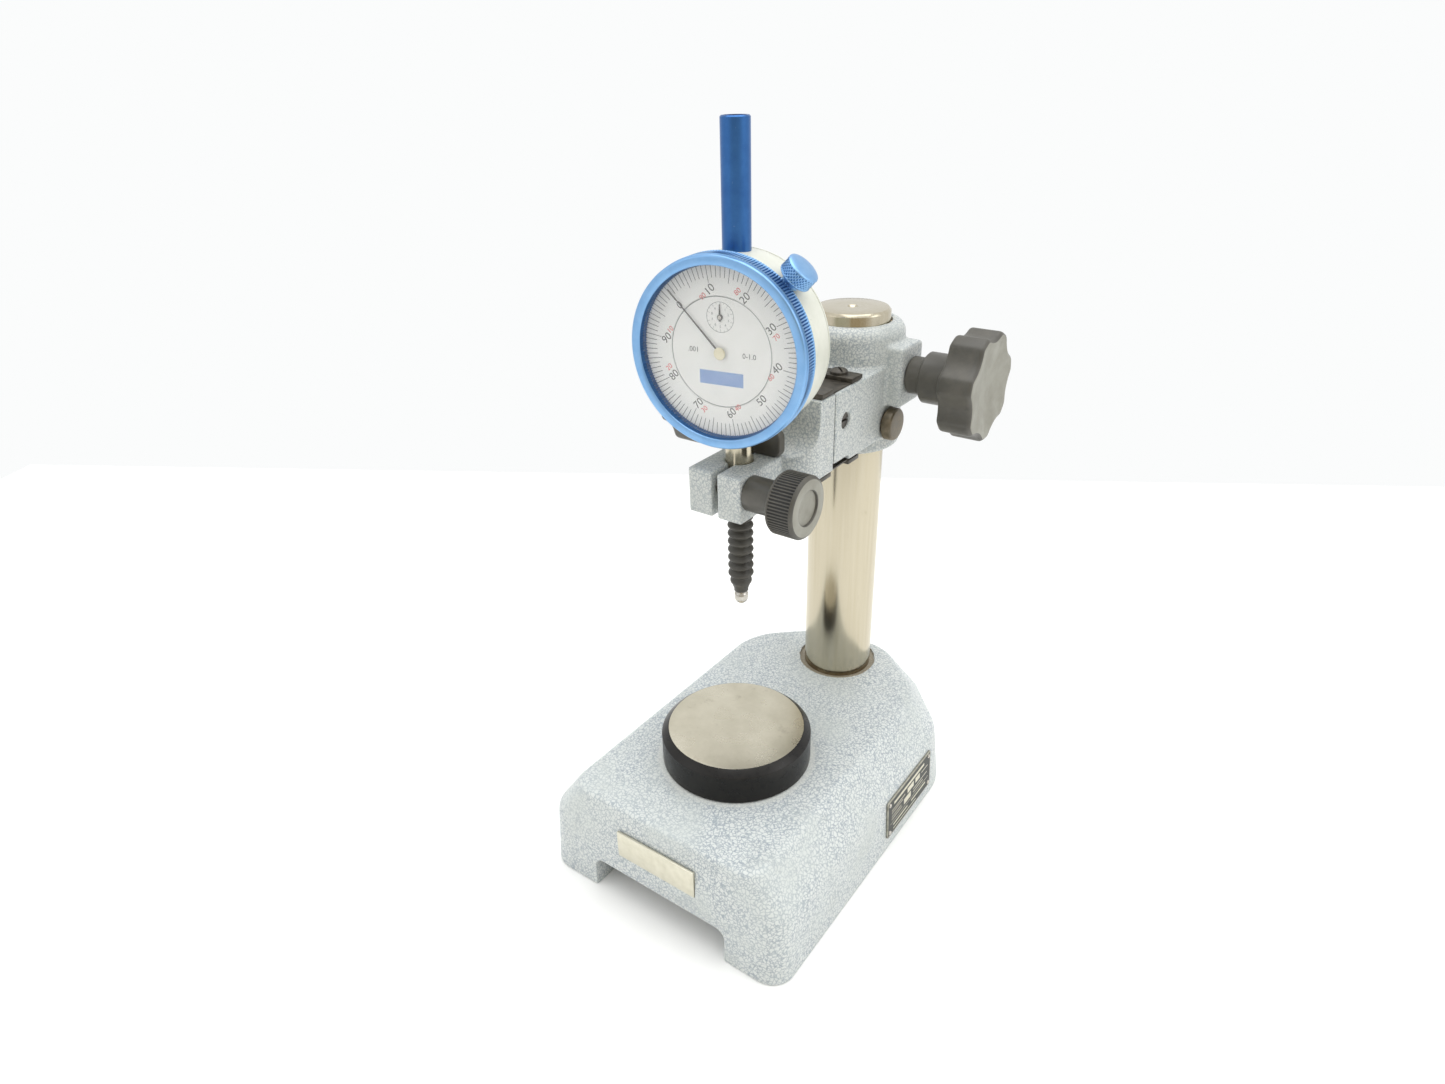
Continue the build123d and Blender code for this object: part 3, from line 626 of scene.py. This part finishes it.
def makePlates():
    front = base["front"]
    bm = bmesh.new()
    addBox(bm, (-17.2, front + 0.6, 23.2), (18.2, front + 1.75, 34.8))
    soften(bm, 0.25, 30, 3)
    finishPiece(bm, "namePlate", "stand", "plate_silver", ["name_plate"])
    lean = math.atan(1.5 / base["shoulder"])
    side = placed((base["width"] / 2 - 1.5 * 15.5 / base["shoulder"], 46, 15.5), -lean, "Y")
    bm = bmesh.new()
    addBox(bm, (0.05, -20, -9), (0.75, 20, 9))
    rounded = [e for e in bm.edges if abs((e.verts[0].co - e.verts[1].co).x) > 0.3]
    roundOff(bm, rounded, 1.0, 4)
    soften(bm, 0.15, 40, 2)
    finishPiece(bm, "dataPlate", "stand", "worn_nickel", ["data_plate"], side)
    # the printed form, dark with blank windows and rules, no words
    bm = bmesh.new()
    addBox(bm, (0.74, -19.3, -8.3), (0.78, 19.3, 8.3))
    finishPiece(bm, "dataPlateField", "stand", "etch_dark", (), side)
    bm = bmesh.new()
    windows = [((-14.5, 5.2), (13.5, 6.5)), ((-2.2, 1.7), (3.6, 4.2)), ((5.2, 1.7), (9.4, 4.2)),
               ((-5.4, -1.9), (1.0, 0.9)), ((-16.5, 2.9), (-4.5, 3.3)), ((-16.5, 1.6), (-6.5, 2.0)),
               ((11.0, 2.9), (17.0, 3.3)), ((-16.5, -0.2), (-8.0, 0.2)), ((-16.5, -1.6), (-7.2, -1.2)),
               ((3.0, -0.2), (16.5, 0.2)), ((3.0, -1.7), (12.5, -1.3)), ((-17.6, -3.3), (17.6, -3.1)),
               ((-15.0, -5.3), (-2.0, -4.5)), ((1.5, -5.3), (15.0, -4.5)), ((-15.0, -7.2), (6.0, -6.7))]
    for (y0, z0), (y1, z1) in windows:
        addBox(bm, (0.77, y0, z0), (0.80, y1, z1))
    finishPiece(bm, "dataPlateWindows", "stand", "plate_silver", (), side)
    bm = bmesh.new()
    for y in (-18, 18):
        for z in (-7, 7):
            spot = placed((0.74, y, z), math.pi / 2, "Y")
            addTurned(bm, [(0, 0), (0.95, 0), (0.93, 0.14), (0.78, 0.32), (0.45, 0.44), (0, 0.48)], 20, spot)
    finishPiece(bm, "dataPlateRivets", "stand", "steel_small", ["data_plate_rivets"], side)


makePlates()

anvil = {"radius": 29.0, "bottom": 43.6, "top": 57.8, "faceRadius": 26.3, "chamferDrop": 2.4}


def makeAnvil():
    r, z0, z1 = anvil["radius"], anvil["bottom"], anvil["top"]
    bm = turned([(0, z0), (r - 0.6, z0), (r, z0 + 0.6), (r, z1 - anvil["chamferDrop"]), (anvil["faceRadius"], z1),
                 (14, z1), (0, z1)], 160)
    soften(bm, 0.22, 25, 3, lambda e: e.verts[0].co.z > z1 - 4)
    for face in bm.faces:
        middle = face.calc_center_median()
        lapped = face.normal.z > 0.97 and math.hypot(middle.x, middle.y) < anvil["faceRadius"]
        face.material_index = 0 if lapped else 1
    finishPiece(bm, "anvilDisc", "stand", ["ground_steel", "black_oxide"], ["anvil"], smooth=25)


makeAnvil()

column = {"radius": 14.65, "bottom": 12.0, "top": 203.1, "chamfer": 1.0, "centreHole": 1.2}


def makeColumn():
    r, z0, z1, c, hole = (column[k] for k in ("radius", "bottom", "top", "chamfer", "centreHole"))
    profile = [(0, z0), (r - 0.05, z0), (r, z0 + 1), (r, z1 - c - 0.15), (r - 0.06, z1 - c),
               (r - c + 0.1, z1 - 0.05), (r - c - 0.1, z1), (7, z1), (hole + 0.9, z1), (hole, z1 - 0.9),
               (hole, z1 - 4), (0, z1 - 5)]
    finishPiece(turned(profile, 160), "columnBar", "stand", "column_steel", ["column"],
                Matrix.Translation((*base["column"], 0)), 25)


makeColumn()
print("base, plates and anvil are made")


# the painted arm and front block, cast and then machined on their flats

cast = {"armGrain": 0.00062, "blockGrain": 0.00045}


def makeCastings():
    for node, name, grain, passes in (("bracket", "arm", cast["armGrain"], 3),
                                      ("front_block", "stemBlock", cast["blockGrain"], 2)):
        finishPiece(castSurface(reMetre(nodeCopy(node)), name, grain, passes), name, node, "arm_paint",
                    [node], Matrix.Scale(1 / unit, 4))
    for node, name, body, finish, width in (
            ("rest_pad", "restPad", "front_block", "black_plastic", 0.7),
            ("rear_spring_plates", "rearPlates", "bracket", "blued_steel", 0.22),
            ("front_spring_plates", "frontPlates", "front_block", "blued_steel", 0.22)):
        bm = nodeCopy(node)
        bmesh.ops.dissolve_limit(bm, angle_limit=math.radians(1), verts=bm.verts, edges=bm.edges)
        if name == "restPad":       # the free end is rounded like a finger pad
            soften(bm, 2.6, 40, 6, lambda e: all(v.co.x > 10 for v in e.verts) and e.calc_length() > 3
                   and abs(e.verts[0].co.y - e.verts[1].co.y) > 3)
        soften(bm, width, 40, 3)
        finishPiece(bm, name, body, finish, [node])


makeCastings()


leafSpring = {"halfWidth": 18.5, "front": 26.3, "back": 54.4, "thickness": 0.5, "steps": 24}


def makeLeafSprings():
    # thin strips between their clamped ends, cut across into even steps along their length
    leaf = leafSpring
    for node, name, low in (("leaf_spring_upper", "upperLeaf", 184.6),
                            ("leaf_spring_lower", "lowerLeaf", 155.9)):
        bm = bmesh.new()
        addBox(bm, (-leaf["halfWidth"], leaf["front"], low),
               (leaf["halfWidth"], leaf["back"], low + leaf["thickness"]))
        for i in range(1, leaf["steps"]):
            y = leaf["front"] + (leaf["back"] - leaf["front"]) * i / leaf["steps"]
            bmesh.ops.bisect_plane(bm, geom=bm.verts[:] + bm.edges[:] + bm.faces[:], plane_co=(0, y, 0),
                                   plane_no=(0, 1, 0))
        bmesh.ops.recalc_face_normals(bm, faces=bm.faces)
        strip = linkMesh(reMetre(bm), name)
        strip.data.materials.append(finishes["blued_steel"])
        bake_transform(strip)
        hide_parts(node)


makeLeafSprings()

panHead = {"radius": 3.2, "height": 1.9, "slot": 0.8, "slotDepth": 0.8}


def makeSpringScrews():
    r, h = panHead["radius"], panHead["height"]
    for node, name, body, y in (("rear_spring_screws", "rearScrews", "bracket", 50.6),
                                ("front_spring_screws", "frontScrews", "front_block", 30.1)):
        bm = bmesh.new()
        for x, turn in ((-11.5, 0.4), (11.5, -0.7)):
            for z, up in ((186.6, 1), (154.4, -1)):
                one = turned([(0, -5.5), (1.45, -5.5), (1.45, 0), (r, 0), (r, 0.9), (r - 0.35, 1.35),
                              (r - 1.0, 1.72), (1.0, h), (0, h)], 40)
                one = cutAway(one, "head", [cutterBox((-4, -panHead["slot"] / 2, h - panHead["slotDepth"]),
                                                      (4, panHead["slot"] / 2, 4))])
                place = placed((x, y, z), turn)
                if up < 0:
                    place = place @ Matrix.Rotation(math.pi, 4, "X")
                absorb(bm, one, place)
        finishPiece(bm, name, body, "blued_steel", [node])


makeSpringScrews()


def makeSidePlug():
    place = placed((0, 75.3, 161.9), math.pi / 2, "Y")
    bm = turned([(0, 17.2), (4.55, 17.2), (4.55, 20.4), (6.3, 20.4), (6.3, 23.2), (6.15, 23.55), (5.8, 23.9),
                 (5.4, 24.0), (2.5, 24.0), (0, 24.0)], 64)
    finishPiece(bm, "sidePlug", "bracket", "brown_steel", ["side_plug"], place, 40)


makeSidePlug()
print("arm, block, springs and screws are made")


# moulded star knobs: seven lobes, rounded rims and a dished face

starKnob = {"lobes": 7, "radius": 20.0, "hollow": 10.2, "hollowCentre": 27.8, "headLow": 17.7, "headHigh": 30.7,
            "rim": 1.7, "stepsPerLobe": 26, "crispness": 1.6}


def lobeRadius(angle):
    step = 2 * math.pi / starKnob["lobes"]
    d = ((angle / step) % 1.0 - 0.5) * step      # the angle from the middle of the nearest hollow
    reach = starKnob["hollow"] ** 2 - (starKnob["hollowCentre"] * math.sin(d)) ** 2
    outer = starKnob["radius"]
    if reach <= 0:
        return outer
    inner = starKnob["hollowCentre"] * math.cos(d) - math.sqrt(reach)
    k = starKnob["crispness"]        # how sharply a lobe turns into a hollow
    return -math.log(math.exp(-k * outer) + math.exp(-k * min(inner, outer + 3))) / k


def dullFace(bm, height):
    # the end face is given a lighter grey than the rest
    for face in bm.faces:
        if face.normal.z > 0.9 and face.calc_center_median().z > height:
            face.material_index = 1


def makeStarKnob(name, body, place, replaced):
    s = starKnob
    steps = s["lobes"] * s["stepsPerLobe"]
    bm = bmesh.new()
    bmesh.ops.create_circle(bm, cap_ends=True, segments=steps, radius=1)
    for v in bm.verts:
        angle = math.atan2(v.co.y, v.co.x)
        r = lobeRadius(angle)
        v.co = (v.co.x * r, v.co.y * r, s["headLow"])
    face = bm.faces[:][0]
    grown = bmesh.ops.extrude_face_region(bm, geom=[face], use_keep_orig=True)
    top = [g for g in grown["geom"] if isinstance(g, bmesh.types.BMFace)][0]
    bmesh.ops.translate(bm, vec=(0, 0, s["headHigh"] - s["headLow"]), verts=top.verts)
    bmesh.ops.recalc_face_normals(bm, faces=bm.faces)
    rims = [e for e in bm.edges if abs(e.verts[0].co.z - e.verts[1].co.z) < 0.01]
    roundOff(bm, rims, s["rim"], 4)
    top = max(bm.faces, key=lambda f: f.calc_center_median().z if f.normal.z > 0.9 else -9)
    for factor, drop in ((0.93, -0.12), (0.86, -0.42), (0.82, -0.55), (0.72, -0.45), (0.78, -0.30), (0.70, -0.16),
                         (0.5, -0.08)):
        below = top
        ring = bmesh.ops.extrude_face_region(bm, geom=[below])
        top = [g for g in ring["geom"] if isinstance(g, bmesh.types.BMFace)][0]
        if below.is_valid:
            bmesh.ops.delete(bm, geom=[below], context="FACES_ONLY")
        bmesh.ops.scale(bm, vec=(factor, factor, 1), verts=top.verts)
        bmesh.ops.translate(bm, vec=(0, 0, drop), verts=top.verts)
    bmesh.ops.poke(bm, faces=[top])
    bmesh.ops.recalc_face_normals(bm, faces=bm.faces)
    if bm.calc_volume(signed=True) < 0:
        bmesh.ops.reverse_faces(bm, faces=bm.faces)
    addTurned(bm, [(0, 12), (4.0, 12), (4.0, 0), (6.6, 0), (7.0, 0.4), (7.0, 5.1), (7.3, 5.7), (9.0, 6.1),
                   (9.5, 6.6), (9.5, 17.2), (10.2, 18.1), (0, 18.1)], 72)
    dullFace(bm, s["headHigh"] - 4)
    return finishPiece(bm, name, body, ["black_plastic", "pale_face_plastic"], replaced, place, 40)


makeStarKnob("clampStarKnob", "clamp_knob", placed((26.3, *base["column"][1:], 180.7), math.pi / 2, "Y"),
             ["clamp_star_knob"])
makeStarKnob("feedStarKnob", "feed_knob", placed((-19.8, 43.0, 172.5), -math.pi / 2, "Y"), ["feed_star_knob"])

stemKnob = {"place": (10.75, -4.5, 160.5), "teeth": 60, "cut": 0.45}


def darkenGrooves(bm, radius, low, high, index):
    # painted shade: the bottoms of the knurled grooves get a dark finish where shade falls
    for face in bm.faces:
        middle = face.calc_center_median()
        if low < middle.z < high and 4 < math.hypot(middle.x, middle.y) < radius:
            face.material_index = index


def knurl(bm, teeth, cut, low, high, phase=0.0):
    # sinks straight grooves into a turned band between two heights
    for v in bm.verts:
        r = math.hypot(v.co.x, v.co.y)
        if low < v.co.z < high and r > 1:
            wave = 0.5 - 0.5 * math.cos(teeth * math.atan2(v.co.y, v.co.x) + phase)
            scale = (r - cut * wave) / r
            v.co.x, v.co.y = v.co.x * scale, v.co.y * scale


def makeStemKnob():
    bm = turned([(0, 9), (3.05, 9), (3.05, 0), (5.7, 0), (6.0, 0.3), (6.0, 11.4), (6.3, 11.7), (9.3, 11.7),
                 (10.1, 12.0), (10.6, 12.7), (10.6, 13.0), (10.6, 20.6), (10.6, 20.9), (10.2, 21.5),
                 (9.5, 21.9), (6.1, 21.9), (5.9, 21.8), (5.8, 21.6), (5.75, 21.1), (5.5, 21.0), (2.6, 21.0),
                 (0, 21.0)], stemKnob["teeth"] * 5)
    knurl(bm, stemKnob["teeth"], stemKnob["cut"], 12.95, 20.7)
    bm.normal_update()
    dullFace(bm, 20.9)
    # painted shade in the bottoms of the knurled grooves
    darkenGrooves(bm, 10.6 - stemKnob["cut"] * 0.6, 12.95, 20.7, 2)
    finishPiece(bm, "stemKnob", "stem_knob", ["black_plastic", "pale_face_plastic", "groove_shade_plastic"],
                ["stem_clamp_knob"], placed(stemKnob["place"], math.pi / 2, "Y"), 50)


makeStemKnob()
print("knobs are made")


# the indicator is drawn about its own stem, turned a little and set in the clamp

indicator = {"turn": 8.27, "stemY": 4.6, "dialZ": 206.45}
indicatorPlace = placed((0, indicator["stemY"], 0), math.radians(indicator["turn"]))
# turns a shape made along +Z so that its axis runs to the front through the dial's middle
dialAxis = indicatorPlace @ placed((0, 0, indicator["dialZ"]), math.pi / 2, "X")

case = {"radius": 29.0, "front": 8.4, "back": -5.2, "spigot": 27.8, "spigotFront": 10.9,
        "screwCircle": 22}


def makeCase():
    # heights here run forwards, so the back of the case is negative
    c = case
    bm = turned([(26.5, c["spigotFront"]), (c["spigot"], c["spigotFront"]), (c["spigot"], c["front"]),
                 (c["radius"] - 0.5, c["front"]), (c["radius"], c["front"] - 0.5), (c["radius"], c["back"] + 0.5),
                 (c["radius"] - 0.15, c["back"]), (26.5, c["back"])], 144, True)
    soften(bm, 0.2, 40, 3)
    finishPiece(bm, "case", "indicator", "ivory_paint", ["indicator_case"], dialAxis, 30)
    r, z = c["radius"], c["back"]
    bm = turned([(0, z), (r, z), (r, z - 0.6), (r - 0.6, z - 1.05), (r - 1.8, z - 1.2), (r - 4.4, z - 1.2),
                 (r - 4.7, z - 1.1), (10, z - 1.1), (0, z - 1.1)], 144)
    finishPiece(bm, "backCover", "indicator", "ivory_paint", ["back_cover"], dialAxis, 30)
    bm = bmesh.new()
    for degrees in (35, 145, 215, 325):
        a = math.radians(degrees)
        one = turned([(0, -2.2), (0.85, -2.2), (0.85, -6.3), (1.8, -6.45), (1.8, -6.8), (1.6, -7.0), (0, -7.0)],
                     32)
        one = cutAway(one, "coverHead", [cutterBox((-2.5, -0.2, -8), (2.5, 0.2, -6.7))])
        absorb(bm, one, placed((c["screwCircle"] * math.cos(a), c["screwCircle"] * math.sin(a), 0), a * 3))
    finishPiece(bm, "coverScrews", "indicator", "steel_small", ["back_cover_screws"], dialAxis)


makeCase()

bezel = {"teeth": 200, "cut": 0.5, "outer": 30.2}


def makeBezel():
    o = bezel["outer"]
    bm = turned([(26.95, 15.5), (27.05, 15.75), (27.35, 15.9), (28.4, 15.9), (29.3, 15.9), (29.75, 15.75),
                 (30.0, 15.4), (30.0, 14.9), (29.75, 14.7), (29.3, 14.55), (29.3, 14.35), (29.7, 14.2),
                 (o, 14.0), (o, 13.8), (o, 9.1), (o, 8.9), (29.8, 8.5), (27.85, 8.5), (27.85, 11.0),
                 (26.95, 11.0)],
                bezel["teeth"] * 4, True)
    knurl(bm, bezel["teeth"], bezel["cut"], 9.0, 13.9)
    # painted shade in the bottoms of the knurled grooves
    darkenGrooves(bm, o - bezel["cut"] * 0.55, 9.0, 13.9, 1)
    finishPiece(bm, "bezelRing", "bezel", ["blue_anodised", "groove_shade_blue"], ["bezel_ring"], dialAxis, 50)


makeBezel()

lockScrew = {"angle": 47, "y": -5.5, "teeth": 28, "cut": 0.42}


def makeLockScrew():
    profile = [(0, 25.9), (1.5, 25.9), (1.5, 29.3), (2.9, 29.3), (2.9, 31.4), (4.9, 31.4), (5.3, 31.6),
               (5.4, 31.9)]
    profile += [(5.4, 32.1 + 0.3 * i) for i in range(12)]
    profile += [(5.4, 35.6), (5.25, 35.88), (4.8, 36.1), (3.6, 36.38), (2.0, 36.55), (0, 36.6)]
    bm = turned(profile, lockScrew["teeth"] * 6)
    for v in bm.verts:      # two crossing sets of grooves make the diamonds
        r, a, z = math.hypot(v.co.x, v.co.y), math.atan2(v.co.y, v.co.x), v.co.z
        if 32.0 < z < 35.45 and r > 4:
            one = math.cos(lockScrew["teeth"] * a + z * 5.2)
            two = math.cos(lockScrew["teeth"] * a - z * 5.2)
            scale = 1 - lockScrew["cut"] * (0.5 - 0.25 * (one + two)) / r
            v.co.x, v.co.y = v.co.x * scale, v.co.y * scale
    # painted shade in the bottoms of the knurled grooves
    darkenGrooves(bm, 5.4 - lockScrew["cut"] * 0.55, 32.0, 35.45, 1)
    lean = math.radians(90 - lockScrew["angle"])
    finishPiece(bm, "bezelLock", "bezel_lock", ["blue_anodised", "groove_shade_blue"], ["bezel_lock_screw"],
                indicatorPlace @ placed((0, lockScrew["y"], indicator["dialZ"]), lean, "Y"), 45)


makeLockScrew()
print("case, bezel and lock screw are made")


# dial printing, raised a few hundredths of a millimetre above the white faces

dial = {"turn": 46.0, "tickOuter": 26.6, "tickInner": 22.8, "fiveInner": 21.5, "tenInner": 21.3,
        "tickWidth": 0.17, "numeralRadius": 19.3, "numeralSize": 3.5, "redSize": 2.3, "face": 11.56,
        "innerFace": 11.51, "ink": 0.03}
# where each red count-down numeral sits beside its black one, across and up the numeral
redBeside = {10: (-3.3, 0.2), 20: (-0.4, 3.0), 30: (-0.4, -2.8), 40: (-3.6, -0.6), 60: (3.1, -0.2),
             70: (0.3, -2.7), 80: (0.6, 2.9), 90: (3.0, 0.9)}


def addText(bm, words, size, x, y, turn, z):
    curve = bpy.data.curves.new("letters", "FONT")
    curve.body, curve.size = words, size
    curve.align_x, curve.align_y = "CENTER", "CENTER"
    curve.extrude, curve.resolution_u = dial["ink"] / 2, 4
    thing = bpy.data.objects.new("letters", curve)
    scene.collection.objects.link(thing)
    graph = bpy.context.evaluated_depsgraph_get()
    mesh = bpy.data.meshes.new_from_object(thing.evaluated_get(graph))
    bpy.data.objects.remove(thing)
    bpy.data.curves.remove(curve)
    mesh.transform(placed((x, y, z), turn))
    bm.from_mesh(mesh)
    bpy.data.meshes.remove(mesh)


def addTick(bm, angle, inner, outer, width, z, centre=(0, 0)):
    verts = addBox(bm, (-width / 2, inner, z - dial["ink"] / 2), (width / 2, outer, z + dial["ink"] / 2))
    bmesh.ops.transform(bm, matrix=placed((*centre, 0), angle), verts=verts)


def addRing(bm, inner, outer, z, centre=(0, 0), steps=96):
    t = dial["ink"] / 2
    addTurned(bm, [(inner, z - t), (outer, z - t), (outer, z + t), (inner, z + t)], steps,
              Matrix.Translation((*centre, 0)), True)


def printDial():
    d = dial
    turn = math.radians(d["turn"])
    z = d["face"]
    black = bmesh.new()
    for i in range(100):
        inner = d["tenInner"] if i % 10 == 0 else d["fiveInner"] if i % 5 == 0 else d["tickInner"]
        addTick(black, turn - i * math.radians(3.6), inner, d["tickOuter"], d["tickWidth"], z)
    red = bmesh.new()
    for i in range(0, 100, 10):
        a = turn - i * math.radians(3.6)
        x, y = -d["numeralRadius"] * math.sin(a), d["numeralRadius"] * math.cos(a)
        addText(black, str(i), d["numeralSize"], x, y, turn, z)
        if i in redBeside:
            u, v = redBeside[i]
            x += u * math.cos(turn) - v * math.sin(turn)
            y += u * math.sin(turn) + v * math.cos(turn)
            addText(red, str(100 - i), d["redSize"], x, y, turn, z)
    finishPiece(black, "scalePrint", "bezel", "ink_black", (), dialAxis)
    finishPiece(red, "countDownPrint", "bezel", "ink_red", (), dialAxis)

    z = d["innerFace"]
    grey = bmesh.new()
    addRing(grey, 17.1, 17.3, z)
    small = (0, 11.0)
    addRing(grey, 4.55, 4.7, z, small, 64)
    for i in range(20):
        addTick(grey, -i * math.radians(18), 3.7 if i % 2 == 0 else 4.1, 4.6, 0.1, z, small)
    for i in range(1, 10):
        a = -i * math.radians(36)
        addText(grey, str(i), 1.15, small[0] - 2.9 * math.sin(a), small[1] + 2.9 * math.cos(a), 0, z)
    finishPiece(grey, "innerDialPrint", "indicator", "ink_grey", (), dialAxis)
    fine = bmesh.new()
    addText(fine, ".001", 2.3, -9.6, 0.2, 0, z)
    addText(fine, "0-1.0", 2.3, 9.7, -0.2, 0, z)
    finishPiece(fine, "rangePrint", "indicator", "ink_black", (), dialAxis)
    badge = bmesh.new()
    addBox(badge, (-7.6, -10.3, z - 0.01), (7.6, -5.9, z + 0.03))
    finishPiece(badge, "blankLabel", "indicator", "label_blue", (), dialAxis)


printDial()


def makePointerBoss():
    # the round boss that carries the pointer
    bm = turned([(0, 12.36), (1.75, 12.36), (1.95, 12.44), (1.95, 12.62), (1.8, 12.74), (0.9, 12.78),
                 (0, 12.8)], 40)
    finishPiece(bm, "pointerBoss", "centre_arbor", "pale_brass", ["pointer_hub"], dialAxis, 40)


makePointerBoss()
print("dial is printed")


# spindle tip, bellows and return spring

tip = {"height": 110.5, "radius": 2.45, "travel": 20}


def makeContact():
    r, z = tip["radius"], tip["height"]
    profile = [(r * math.sin(a), z + r - r * math.cos(a)) for a in [math.radians(d) for d in range(0, 91, 9)]]
    profile += [(r, z + 4.1), (r - 0.15, z + 4.3), (1.95, z + 4.75), (1.9, z + 5.2), (1.9, 117.4), (0, 117.4)]
    finishPiece(turned(profile, 48), "contactPoint", "spindle", "steel_small", ["contact_point"],
                indicatorPlace, 40)


makeContact()

boot = {"folds": 10, "low": 118.6, "high": 150.2, "crest": 4.6, "root": 3.3, "bottom": 115.8, "top": 152.4}


def makeBoot():
    b = boot
    pitch = (b["high"] - b["low"]) / b["folds"]
    profile = [(1.95, b["bottom"]), (2.45, b["bottom"]), (2.6, b["bottom"] + 0.15), (2.6, b["low"] - 1.9),
               (2.7, b["low"] - 1.5)]
    per = 12
    for i in range(b["folds"] * per + 1):
        z = b["low"] + i * pitch / per
        phase = (i % per) / per
        crest = b["crest"] - (0.65 if i < per else 0)
        root = min(b["root"], crest - 0.7)
        wave = 0.5 - 0.5 * math.cos(2 * math.pi * phase)
        profile.append((root + (crest - root) * wave ** 0.62, z))
    profile += [(3.8, b["high"] + 0.2), (4.25, b["high"] + 0.3), (4.3, b["high"] + 0.5), (4.3, b["top"] - 0.15),
                (4.15, b["top"]), (2.4, b["top"])]
    bm = turned(profile, 48, True)
    rubber = finishPiece(bm, "bellows", "indicator", "boot_rubber", ["boot"], indicatorPlace, 60)
    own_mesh(rubber)


makeBoot()

spring = {"low": 244.6, "high": 270.2, "radius": 2.9, "wire": 0.3, "turns": 11}


def makeReturnSpring():
    s = spring
    bm = bmesh.new()
    made = bmesh.ops.create_circle(bm, cap_ends=False, segments=8, radius=s["wire"])
    place = placed((s["radius"], 0, s["low"] + s["wire"]), math.pi / 2, "X")
    bmesh.ops.transform(bm, matrix=place, verts=made["verts"])
    steps = s["turns"] * 20
    rise = s["high"] - s["low"] - 2 * s["wire"]
    bmesh.ops.spin(bm, geom=bm.verts[:] + bm.edges[:], cent=(0, 0, 0), axis=(0, 0, 1), dvec=(0, 0, rise / steps),
                   angle=2 * math.pi * s["turns"], steps=steps, use_duplicate=False)
    bmesh.ops.holes_fill(bm, edges=[e for e in bm.edges if e.is_boundary], sides=0)
    bmesh.ops.recalc_face_normals(bm, faces=bm.faces)
    wire = finishPiece(bm, "returnSpring", "indicator", "steel_small", ["return_spring"], indicatorPlace, 60)
    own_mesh(wire)


makeReturnSpring()
nodes["crystal"].visible_shadow = False      # light reaches the dial through the clear crystal
print("contact, bellows and spring are made")
